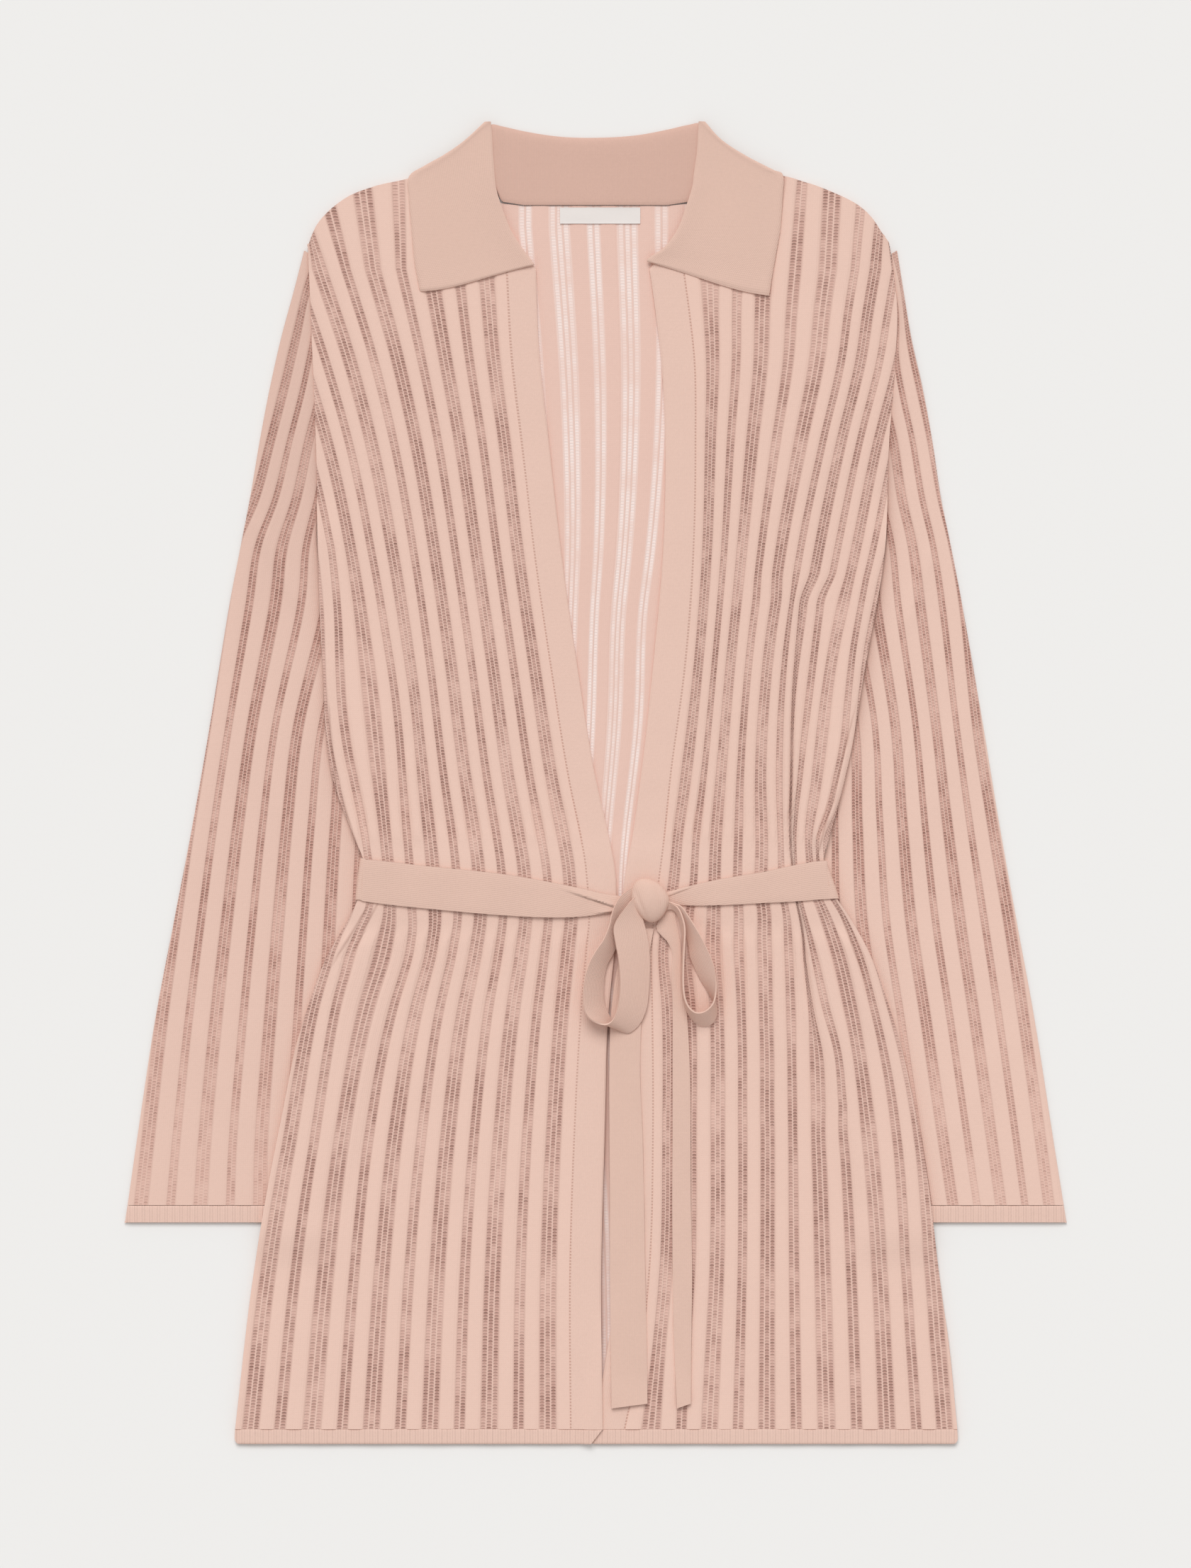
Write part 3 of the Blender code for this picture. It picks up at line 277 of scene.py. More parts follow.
# How far the surface drops towards the edges of a piece, over a section of it
BAND_SECTION = table(
    "share drop", (0.0, 0.5), (0.03, 0.15), (0.08, 0.0), (0.2, 0.0), (0.35, 0.0), (0.5, 0.0),
    (0.65, 0.0), (0.8, 0.0), (0.92, 0.06), (0.97, 0.2), (1.0, 0.7),
)
HEM_SECTION = table(
    "rise drop", (0.0, 0.7), (0.2, 0.35), (0.6, 0.1), (1.3, 0.0), (2.2, 0.0), (3.2, 0.0),
    (4.4, 0.0), (7.5, 0.0), (9.0, 0.0), (9.4, 0.1), (9.55, 0.3),
)
CUFF_SECTION = table(
    "station drop", (0.0, 0.5), (0.15, 0.2), (0.4, 0.0), (0.8, 0.0), (1.2, 0.0), (1.5, 0.0),
    (1.8, 0.05), (1.95, 0.15), (2.0, 0.4),
)
COLLAR_BACK_SECTION = table(
    "share drop", (0.0, 0.5), (0.02, 0.15), (0.06, 0.0), (0.15, 0.0), (0.3, 0.0), (0.45, 0.0),
    (0.6, 0.0), (0.75, -0.15), (0.88, -0.1), (0.94, 0.2), (0.975, 0.7), (1.0, 1.5),
)
# Neck label: its two sides, its foot and its top
LABEL_BOX = (-22.6, 28.5, 357.2, 367.4)
# Belt over the fronts, from the side to the knot: its two edges
BELT_RUN_RIGHT = table(
    "x high low",
    (-154.0, -47.2, -73.5), (-134.0, -49.2, -76.4), (-110.0, -52.0, -79.0),
    (-88.0, -54.2, -81.1), (-60.0, -57.3, -83.4), (-33.0, -61.7, -84.8),
    (-10.0, -66.4, -84.4), (8.0, -70.5, -82.0), (23.5, -72.0, -79.5),
)
BELT_RUN_LEFT = table(
    "x high low",
    (154.0, -48.8, -72.8), (145.5, -48.8, -73.2), (125.0, -52.0, -74.8),
    (108.0, -55.8, -75.6), (90.0, -58.8, -76.6), (73.0, -61.9, -77.2),
    (60.0, -65.0, -77.2), (44.5, -69.2, -76.0),
)
# Folded edges: both ends, rise, reach, and the side that stands up, 1 for the left of
# the way from one end to the other. Each fades in over the first half of its way.
BELT_FOLDS_RIGHT = (
    (-24.0, -66.0, 14.0, -78.6, 1.6, 4.0, 1), (-2.0, -82.8, 12.0, -80.8, 1.0, 2.0, 1),
)
BELT_FOLDS_LEFT = ((66.0, -63.8, 44.8, -71.6, 1.0, 3.0, -1),)
KNOT_CENTRE = (34.9, -74.0, 9.9)
KNOT_RADII = (11.0, 13.2, 5.6)
LOOP_WIDTH_RIGHT = 13.0
LOOP_WIDTH_LEFT = 11.0
# Bow loops from the knot and back to it: a point on each edge of the band
LOOP_RIGHT = (
    ((23.6, -65.5, 10.0), (25.9, -72.4, 7.5)), ((16.7, -70.6, 10.6), (21.3, -79.8, 6.8)),
    ((12.5, -77.0, 11.4), (16.7, -85.3, 6.4)), ((10.2, -83.5, 12.0), (14.8, -90.9, 6.2)),
    ((8.8, -89.9, 12.6), (13.9, -96.4, 6.0)), ((5.2, -98.7, 13.6), (13.0, -103.8, 6.0)),
    ((0.5, -105.6, 14.4), (9.8, -110.2, 6.0)), ((-3.6, -113.0, 15.0), (6.7, -116.7, 6.0)),
    ((-6.7, -123.1, 15.4), (5.2, -125.0, 6.0)), ((-7.8, -133.3, 15.6), (4.9, -133.3, 6.0)),
    ((-7.3, -142.5, 15.6), (5.8, -140.7, 6.0)), ((-4.1, -148.5, 15.5), (8.8, -147.6, 6.0)),
    ((1.5, -151.7, 15.3), (11.1, -152.7, 6.0)), ((7.0, -152.5, 15.2), (14.5, -156.4, 6.0)),
    ((11.3, -149.4, 15.2), (21.3, -158.2, 6.0)), ((13.9, -142.5, 15.2), (27.9, -152.7, 6.0)),
    ((15.3, -133.3, 15.0), (32.1, -143.4, 6.1)), ((15.5, -122.2, 14.8), (33.8, -131.4, 6.3)),
    ((14.4, -110.2, 14.6), (34.4, -119.5, 6.6)), ((12.5, -100.1, 14.4), (34.2, -107.5, 7.0)),
    ((11.5, -92.7, 14.2), (33.1, -98.2, 7.6)), ((13.0, -87.2, 14.0), (30.7, -88.1, 8.6)),
    ((19.5, -77.9, 13.4), (27.9, -78.9, 10.0)), ((26.4, -70.3, 12.4), (26.5, -72.4, 11.4)),
)
LOOP_LEFT = (
    ((43.0, -73.4, 9.8), (42.6, -80.0, 8.0)), ((50.8, -76.3, 11.2), (51.3, -79.8, 7.6)),
    ((55.0, -78.4, 12.2), (53.1, -85.3, 7.0)), ((61.0, -87.2, 13.2), (56.8, -92.7, 6.4)),
    ((66.5, -96.4, 14.0), (59.1, -101.0, 6.0)), ((71.1, -105.6, 14.8), (60.5, -110.2, 5.8)),
    ((74.8, -114.8, 15.2), (63.3, -117.1, 5.8)), ((76.1, -122.2, 15.2), (67.4, -125.0, 5.8)),
    ((76.5, -130.5, 15.2), (72.5, -133.3, 5.8)), ((74.8, -138.8, 15.2), (77.2, -143.4, 5.8)),
    ((70.2, -143.9, 15.2), (74.3, -152.2, 5.8)), ((64.6, -145.3, 15.2), (66.5, -153.3, 5.8)),
    ((60.0, -142.5, 15.2), (61.0, -149.0, 5.8)), ((56.8, -136.1, 15.2), (57.3, -141.6, 5.8)),
    ((55.7, -125.9, 15.0), (55.0, -130.5, 5.8)), ((56.1, -107.5, 14.4), (55.0, -114.8, 5.9)),
    ((56.8, -93.6, 13.6), (55.7, -100.1, 6.2)), ((55.4, -85.3, 12.8), (54.3, -90.9, 6.8)),
    ((51.7, -77.9, 11.6), (51.5, -81.6, 7.6)), ((43.6, -73.8, 9.4), (43.4, -77.0, 8.2)),
)
# Free ends of the belt: their two edges from the knot down
TAIL_RIGHT = table(
    "y low high",
    (-92.0, 24.5, 37.0), (-112.0, 15.5, 33.5), (-140.0, 10.5, 30.0), (-178.0, 9.0, 28.2),
    (-223.0, 9.0, 29.8), (-268.0, 9.3, 30.8), (-314.0, 9.3, 31.6), (-359.0, 9.8, 32.6),
    (-394.5, 10.3, 33.0),
)
TAIL_LEFT = table(
    "y low high",
    (-76.0, 44.4, 49.8), (-85.0, 41.6, 50.8), (-92.0, 38.8, 52.2), (-97.0, 42.6, 53.2),
    (-101.0, 46.5, 53.8), (-119.0, 48.6, 54.6), (-140.0, 49.2, 57.4),
    (-178.0, 49.2, 59.8), (-223.0, 49.2, 60.4), (-268.0, 49.0, 60.6), (-314.0, 49.4, 61.4),
    (-359.0, 50.2, 60.8), (-394.5, 52.0, 60.6),
)
TAIL_SLANT = 3.0

# Deep fold of the left front at the waist: its line, the next narrow stripe and how far
# the wide stripe is tucked in
WAIST_FOLD = table(
    "y fold next tuck",
    (111.0, 131.5, 142.8, 0.0), (57.0, 126.3, 136.4, 0.7), (8.0, 124.8, 130.6, 0.95),
    (-41.0, 124.5, 126.6, 1.0), (-75.0, 128.2, 130.4, 1.0), (-94.0, 131.8, 135.3, 1.0),
    (-113.0, 133.4, 139.9, 0.9), (-142.0, 137.2, 146.5, 0.6), (-170.0, 140.8, 154.0, 0.0),
    (-205.0, 142.2, 157.5, 0.0),
)
WAIST_FOLD_TOP = 135.0
WAIST_FOLD_FOOT = -240.0
# Heights between which the fold is drawn, and the wide stripe's half width in stripes
TUCK_TOP = 111.0
TUCK_FOOT = -170.0
WIDE_HALF = 0.32
# How much further out the last narrow stripe lies where the sides are drawn in
SIDE_STRIPE_RIGHT = table(
    "y shift", (150.0, 0.0), (110.0, 2.5), (57.0, 6.6), (13.0, 4.8), (-41.0, -0.6), (-78.0, -0.4),
    (-97.0, 5.6), (-125.0, 5.0), (-170.0, 2.0), (-230.0, 0.0),
)
SIDE_STRIPE_LEFT = table(
    "y shift", (130.0, 0.0), (57.0, 5.0), (30.0, 6.1), (2.0, 4.7), (-15.0, 4.1), (-39.0, -0.6),
    (-60.0, 0.0), (-83.0, 3.5), (-106.0, 3.8), (-142.0, 3.2), (-199.0, 3.3), (-300.0, 0.0),
)
SIDE_FOLDS_RIGHT = (
    (-171.5, 70.0, -164.3, -8.0, 0.5, 3.0, 1), (-168.0, 12.0, -149.6, -45.0, 0.6, 3.0, 1),
    (-172.0, -122.0, -145.0, -77.0, 1.0, 4.0, 1), (-160.0, -118.0, -139.5, -77.0, 0.8, 3.0, 1),
)
SIDE_FOLDS_LEFT = (
    (172.0, 73.0, 142.5, -42.0, 1.0, 4.0, 1), (182.0, -152.0, 153.6, -75.0, 0.9, 4.0, -1),
)
# Soft creases: both ends, rise (a trough below zero) and half width
CREASES_FRONT_RIGHT = (
    (-172, 205, -166, 60, -1.1, 5.0), (-166, 60, -150, -20, -1.3, 4.0),
    (-120, 20, -108, -40, 0.9, 6.0), (-64, 90, -52, -36, 0.8, 7.0),
    (-150, -100, -176, -190, 0.9, 7.0), (-96, -96, -112, -200, 0.7, 8.0),
    (-48, -98, -60, -170, 0.6, 6.0), (-150, 300, -120, 180, 0.6, 12.0),
)
CREASES_FRONT_LEFT = (
    (124, -20, 126, -46, -1.4, 3.5), (129, -88, 136, -142, -1.4, 4.0),
    (158, 30, 146, -40, 0.9, 5.0), (146, -74, 178, -160, 1.1, 6.0),
    (90, 60, 88, -38, 0.8, 7.0), (66, -96, 72, -190, 0.7, 7.0),
    (108, -98, 112, -210, 0.6, 8.0), (160, 300, 140, 190, 0.6, 12.0),
)
CREASES_SLEEVE_RIGHT = (
    (-206, 210, -214, 120, 0.7, 6.0), (-236, 60, -196, -30, 0.6, 9.0),
    (-216, 168, -188, 110, 0.8, 5.0), (-262, -150, -220, -220, 0.5, 10.0),
)
CREASES_SLEEVE_LEFT = (
    (208, 200, 216, 118, 0.7, 6.0), (238, 50, 200, -40, 0.6, 9.0),
    (214, 150, 196, 96, 0.8, 5.0), (266, -160, 226, -230, 0.5, 10.0),
)

# What differs from side to side
SIDES = {
    "right": {
        "front": FRONT_RIGHT, "shoulder": SHOULDER_RIGHT, "band_top": BAND_TOP_RIGHT,
        "stripe_shift": SIDE_STRIPE_RIGHT, "folds": SIDE_FOLDS_RIGHT,
        "creases": CREASES_FRONT_RIGHT, "front_phase": 0.4, "front_seed": 1.0,
        "sleeve": SLEEVE_RIGHT, "sleeve_creases": CREASES_SLEEVE_RIGHT,
        "sleeve_phase": 2.6, "sleeve_seed": 41.0, "armhole_reach": 2.0, "armhole_shade": 0.25,
        "leaf": LEAF_RIGHT, "leaf_phase": 0.3, "belt_run": BELT_RUN_RIGHT,
        "belt_folds": BELT_FOLDS_RIGHT, "tail": TAIL_RIGHT,
        "loop": LOOP_RIGHT, "loop_width": LOOP_WIDTH_RIGHT, "loop_rests_on": "belt_tail_right",
    },
    "left": {
        "front": FRONT_LEFT, "shoulder": SHOULDER_LEFT, "band_top": BAND_TOP_LEFT,
        "stripe_shift": SIDE_STRIPE_LEFT, "folds": SIDE_FOLDS_LEFT,
        "creases": CREASES_FRONT_LEFT, "front_phase": 1.7, "front_seed": 23.0,
        "sleeve": SLEEVE_LEFT, "sleeve_creases": CREASES_SLEEVE_LEFT,
        "sleeve_phase": 0.9, "sleeve_seed": 67.0, "armhole_reach": 3.2, "armhole_shade": 0.5,
        "leaf": LEAF_LEFT, "leaf_phase": 1.4, "belt_run": BELT_RUN_LEFT,
        "belt_folds": BELT_FOLDS_LEFT, "tail": TAIL_LEFT,
        "loop": LOOP_LEFT, "loop_width": LOOP_WIDTH_LEFT, "loop_rests_on": "front_left",
    },
}


def smooth01(t):
    """Soft step from 0 to 1."""
    t = np.clip(t, 0.0, 1.0)
    return t * t * (3.0 - 2.0 * t)


def along(rows, column, place):
    """Smooth value of a table's column at places along its first column."""
    keys = next(iter(rows.values()))
    values = rows[column]
    slopes = np.gradient(values, keys)
    place = np.asarray(place, dtype=float)
    i = np.clip(np.searchsorted(keys, place) - 1, 0, len(keys) - 2)
    span = keys[i + 1] - keys[i]
    t = np.clip((place - keys[i]) / span, 0.0, 1.0)
    start = values[i] * (1 + 2 * t) * (1 - t) ** 2 + slopes[i] * span * t * (1 - t) ** 2
    end = values[i + 1] * t * t * (3 - 2 * t) + slopes[i + 1] * span * t * t * (t - 1)
    return start + end


def through(points, count):
    """Points along a smooth curve through the given ones."""
    points = np.array(points, dtype=float)
    steps = np.arange(len(points), dtype=float)
    places = np.linspace(0.0, steps[-1], count)
    flat = points.reshape(len(points), -1)
    columns = [along({"step": steps, "value": flat[:, i]}, "value", places)
               for i in range(flat.shape[1])]
    return np.stack(columns, axis=-1).reshape((count,) + points.shape[1:])


def lift(x, y):
    """Height of the back's underside over the sleeves and the hidden belt stretch."""
    keys = SLEEVE_RIGHT["inner_y"]
    inner = np.where(x > 0, np.interp(y, keys, SLEEVE_LEFT["inner"]),
                     -np.interp(y, keys, SLEEVE_RIGHT["inner"]))
    over_sleeve = smooth01((np.abs(x) - inner + SLEEVE_RAMP) / SLEEVE_RAMP)
    below_arm = smooth01((UNDERARM_Y + 2.0 - y) / 35.0)
    above_cuff = smooth01((y - CUFF_EDGE_Y + 32.0) / 28.0)
    over_belt = smooth01((BELT_RAMP - np.abs(y - BELT_Y) + BELT_WIDTH / 2) / BELT_RAMP)
    return SLEEVE_LIFT * over_sleeve * below_arm * above_cuff + BELT_LIFT * over_belt


def overlap(x, y):
    """Extra height of the right front where it laps over the left band near the hem."""
    past = x - along(FRONT_LEFT, "inner", np.maximum(y, HEM_SEAM_Y))
    lap = (BAND_WALL + SEAM_GAP) * smooth01((past + 10.0) / 8.0)
    return lap * smooth01((-320.0 - y) / 20.0)


def gather(y):
    """Share of the pleating where the belt draws the cloth in, none under the belt."""
    away = np.maximum(np.maximum(y - BELT_Y - GATHER_START_ABOVE,
                                 BELT_Y - GATHER_START_BELOW - y), 0.0)
    return smooth01(away / 14.0) * np.exp(-(away / GATHER_REACH) ** 2)


def cover_height(x, y):
    """Height just over the fronts and bands, for what lies on them."""
    return FRONT_TOP + 1.1 * gather(y) + lift(x, y) + TOUCH_GAP


def creases(rows, x, y):
    """Summed height of soft creases, each fading out at its ends."""
    total = np.zeros_like(x)
    for x0, y0, x1, y1, rise, half in rows:
        way = np.array((x1 - x0, y1 - y0), dtype=float)
        length = float(np.hypot(*way))
        way /= length
        ahead = ((x - x0) * way[0] + (y - y0) * way[1]) / length
        aside = (x - x0) * way[1] - (y - y0) * way[0]
        fade = smooth01((ahead + 0.15) / 0.35) * smooth01((1.15 - ahead) / 0.35)
        total += rise * fade * np.exp(-(aside / half) ** 2)
    return total


def fold_steps(rows, x, y):
    """Height and shade of folded edges, each standing up beside its line."""
    raised = np.zeros_like(x)
    shade = np.zeros_like(x)
    for x0, y0, x1, y1, rise, reach, side in rows:
        length = float(np.hypot(x1 - x0, y1 - y0))
        way_x, way_y = (x1 - x0) / length, (y1 - y0) / length
        ahead = ((x - x0) * way_x + (y - y0) * way_y) / length
        aside = ((y - y0) * way_x - (x - x0) * way_y) * side
        fade = smooth01(ahead / 0.5) * smooth01((1.12 - ahead) / 0.12)
        raised += rise * fade * smooth01((aside + 0.3) / 0.6) * np.exp(
            -np.maximum(aside, 0.0) / reach)
        shade += 0.7 * fade * np.exp(-((aside + 0.35) / 0.5) ** 2)
    return raised, shade


def swell(x, y, size, phase):
    """Slow uneven rise and fall of laid cloth, in millimetres."""
    a = np.sin(x / 31.0 + 0.7 * np.sin(y / 83.0 + phase) + phase)
    b = np.sin(y / 57.0 + 0.9 * np.sin(x / 47.0 - phase) + 2.0 * phase)
    return size * (0.6 * a + 0.4 * b)


def rib_relief(stripe, halves=BODY_SHARES):
    """Share of the rib height at a stripe coordinate: none in the openwork."""
    nearest = np.round(stripe)
    half = np.where(np.mod(nearest, 2.0) < 0.5, halves[0], halves[1])
    return smooth01((np.abs(stripe - nearest) - half) / 0.1)


def layout_origin():
    """Where the layout's origin lies in the frame, in millimetres."""
    hem_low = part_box("hem_band_back")[0]
    cuff_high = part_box("cuff_left")[1]
    edge = SLEEVE_LEFT["outer"][0] + CUFF_FLARE
    return np.array((cuff_high[0] / MM - edge, hem_low[1] / MM - HEM_EDGE_Y, 0.0))


def place(mesh, points):
    """Moves a mesh's vertices to points of the layout, in millimetres."""
    placed = (points.reshape(-1, 3) + layout_origin()) * MM
    mesh.vertices.foreach_set("co", placed.reshape(-1).astype(np.float32))


def set_uv(mesh, uv):
    """Gives every vertex of a mesh its pattern coordinate."""
    layer = mesh.uv_layers.active or mesh.uv_layers.new(name="UVMap")
    corner = np.empty(len(mesh.loops), dtype=np.int32)
    mesh.loops.foreach_get("vertex_index", corner)
    flat_uv = uv.reshape(-1, 2)[corner]
    layer.data.foreach_set("uv", flat_uv.reshape(-1).astype(np.float32))


def cloth(name, points, uv, wall, material, closed=False, offset=-1.0, shade=None):
    """A sheet shaped from a grid, given its wall and its own pattern coordinates.

    points and uv have a row for each line along the piece. The given face is the
    upper or outer one and the wall grows inwards from it.
    """
    rows, columns = points.shape[:2]
    bpy.ops.object.select_all(action="DESELECT")
    bpy.ops.mesh.primitive_grid_add(x_subdivisions=columns - 1, y_subdivisions=rows - 1,
                                    size=1.0)
    obj = bpy.context.object
    obj.name = name
    mesh = obj.data
    mesh.name = name
    if len(mesh.vertices) != rows * columns:
        raise RuntimeError(name + ": the grid has another number of points")
    place(mesh, points)
    set_uv(mesh, uv)
    # painted shade for folds and the sides of other pieces, kept as a point attribute
    if shade is not None:
        darker = mesh.attributes.new("shade", "FLOAT", "POINT")
        darker.data.foreach_set("value", shade.reshape(-1).astype(np.float32))
    mesh.update()
    if closed:
        bpy.ops.object.mode_set(mode="EDIT")
        bpy.ops.mesh.select_all(action="SELECT")
        bpy.ops.mesh.remove_doubles(threshold=0.00001)
        bpy.ops.object.mode_set(mode="OBJECT")
    given = len(mesh.vertices)
    bpy.ops.object.modifier_add(type="SOLIDIFY")
    solidify = obj.modifiers[-1]
    solidify.thickness = wall * MM
    solidify.offset = offset
    bpy.ops.object.modifier_apply(modifier=solidify.name)
    if shade is not None:
        values = np.empty(len(mesh.vertices), dtype=np.float32)
        mesh.attributes["shade"].data.foreach_get("value", values)
        values[given:] = FAR_SIDE
        mesh.attributes["shade"].data.foreach_set("value", values)
    mesh.materials.clear()
    mesh.materials.append(material)
    bpy.ops.object.shade_smooth_by_angle(angle=0.9)
    return obj


def surface_area(points):
    """Area of a grid of points, in square metres."""
    a = points[1:, :-1] - points[:-1, :-1]
    b = points[:-1, 1:] - points[:-1, :-1]
    return float(np.linalg.norm(np.cross(a, b), axis=-1).sum()) * MM * MM


def lay(obj, node, points, size=None):
    """Attaches a piece of cloth to the root and hides the node it stands for; its area and cut
    size are worked out but not used.

    size is in millimetres; without it the piece was cut to its own spans.
    """
    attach(obj, "root")
    if node:
        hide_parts(node)
    area = surface_area(points)
    if size is None:
        spans = points.reshape(-1, 3).max(axis=0) - points.reshape(-1, 3).min(axis=0)
        size = (spans[0], spans[1])
    size = tuple(max(part, LEAST_CUT) * MM for part in size)
    area = min(max(area, 0.31 * size[0] * size[1]), size[0] * size[1])


class Knit:
    """Builds a cloth material node by node."""

    def __init__(self, name, roughness=0.88, sheen=0.15):
        self.material = bpy.data.materials.new(name)
        self.material.use_nodes = True
        self.tree = self.material.node_tree
        self.shader = self.tree.nodes["Principled BSDF"]
        self.shader.inputs["Roughness"].default_value = roughness
        self.shader.inputs["Sheen Weight"].default_value = sheen
        self.shader.inputs["Sheen Roughness"].default_value = 0.5
        self.shader.inputs["Sheen Tint"].default_value = (1.0, 0.66, 0.55, 1.0)
        self.shader.inputs["Specular IOR Level"].default_value = 0.25
        self.coords = self.tree.nodes.new("ShaderNodeTexCoord")

    def put(self, socket, value):
        """Links a socket to another node's output or sets its value."""
        if isinstance(value, bpy.types.NodeSocket):
            self.tree.links.new(value, socket)
        else:
            socket.default_value = value

    def math(self, operation, a, b=0.0, c=0.0):
        """Output of a Math node."""
        node = self.tree.nodes.new("ShaderNodeMath")
        node.operation = operation
        for socket, value in zip(node.inputs, (a, b, c)):
            self.put(socket, value)
        return node.outputs[0]

    def step(self, value, low, high):
        """Soft step from 0 to 1 between low and high."""
        node = self.tree.nodes.new("ShaderNodeMapRange")
        node.interpolation_type = "SMOOTHSTEP"
        for socket, part in zip(node.inputs, (value, low, high)):
            self.put(socket, part)
        return node.outputs[0]

    def mix(self, share, a, b):
        """Colour a with a share of colour b."""
        node = self.tree.nodes.new("ShaderNodeMix")
        node.data_type = "RGBA"
        self.put(node.inputs["Factor"], share)
        self.put(node.inputs["A"], a)
        self.put(node.inputs["B"], b)
        return node.outputs["Result"]

    def uv(self):
        """The two pattern coordinates."""
        split = self.tree.nodes.new("ShaderNodeSeparateXYZ")
        self.tree.links.new(self.coords.outputs["UV"], split.inputs[0])
        return split.outputs["X"], split.outputs["Y"]

    def noise(self, scale, detail):
        """Fine unevenness over the object's own coordinates."""
        node = self.tree.nodes.new("ShaderNodeTexNoise")
        self.tree.links.new(self.coords.outputs["Object"], node.inputs["Vector"])
        node.inputs["Scale"].default_value = scale
        node.inputs["Detail"].default_value = detail
        return node.outputs[0]

    def mark(self):
        """The mesh's shade attribute, which is FAR_SIDE on the face the wall was grown to."""
        node = self.tree.nodes.new("ShaderNodeAttribute")
        node.attribute_name = "shade"
        return node.outputs["Fac"]

    def shade(self):
        """Share of painted shade that the mesh carries, as in folds, creases and beside other
        pieces.
        """
        return self.math("MAXIMUM", self.mark(), 0.0)

    def far_side(self):
        """1 on the face of the cloth that the wall was grown to."""
        return self.math("LESS_THAN", self.mark(), FAR_SIDE / 2)

    def joined(self, values):
        """Vector of three values."""
        node = self.tree.nodes.new("ShaderNodeCombineXYZ")
        for socket, value in zip(node.inputs, values):
            self.put(socket, value)
        return node.outputs[0]

    def cell(self, *values):
        """Even random value for three whole numbers."""
        node = self.tree.nodes.new("ShaderNodeTexWhiteNoise")
        self.tree.links.new(self.joined(values), node.inputs["Vector"])
        return node.outputs["Value"]

    def drift(self, *values):
        """Slow noise over three coordinates."""
        node = self.tree.nodes.new("ShaderNodeTexNoise")
        self.tree.links.new(self.joined(values), node.inputs["Vector"])
        node.inputs["Scale"].default_value = 1.0
        node.inputs["Detail"].default_value = 2.0
        return node.outputs[0]

    def within(self, value):
        """Distance of a value from the nearest whole number, signed."""
        return self.math("SUBTRACT", value, self.math("ROUND", value))

    def finish(self, colour, height, distance):
        """The material with its colour and relief, whose full height is distance, in mm."""
        self.put(self.shader.inputs["Base Color"], colour)
        bump = self.tree.nodes.new("ShaderNodeBump")
        bump.inputs["Strength"].default_value = 1.0
        bump.inputs["Distance"].default_value = distance * MM
        self.put(bump.inputs["Height"], height)
        self.tree.links.new(bump.outputs[0], self.shader.inputs["Normal"])
        return self.material


def colour4(value):
    """A colour with its fourth value."""
    return (value[0], value[1], value[2], 1.0)


def dimmed(colour, share):
    """A colour at a share of its brightness."""
    return tuple(c * share for c in colour[:3]) + (1.0,)


def stitches(knit, across, down):
    """Height of plain knit stitches, from coordinates in stitches."""
    side = knit.math("ABSOLUTE", knit.within(across))
    slant = knit.math("MULTIPLY_ADD", side, 1.2, down)
    row = knit.math("ABSOLUTE", knit.within(slant))
    wale = knit.math("SUBTRACT", 0.5, side)
    return knit.math("ADD", wale, knit.math("MULTIPLY", row, 0.7))


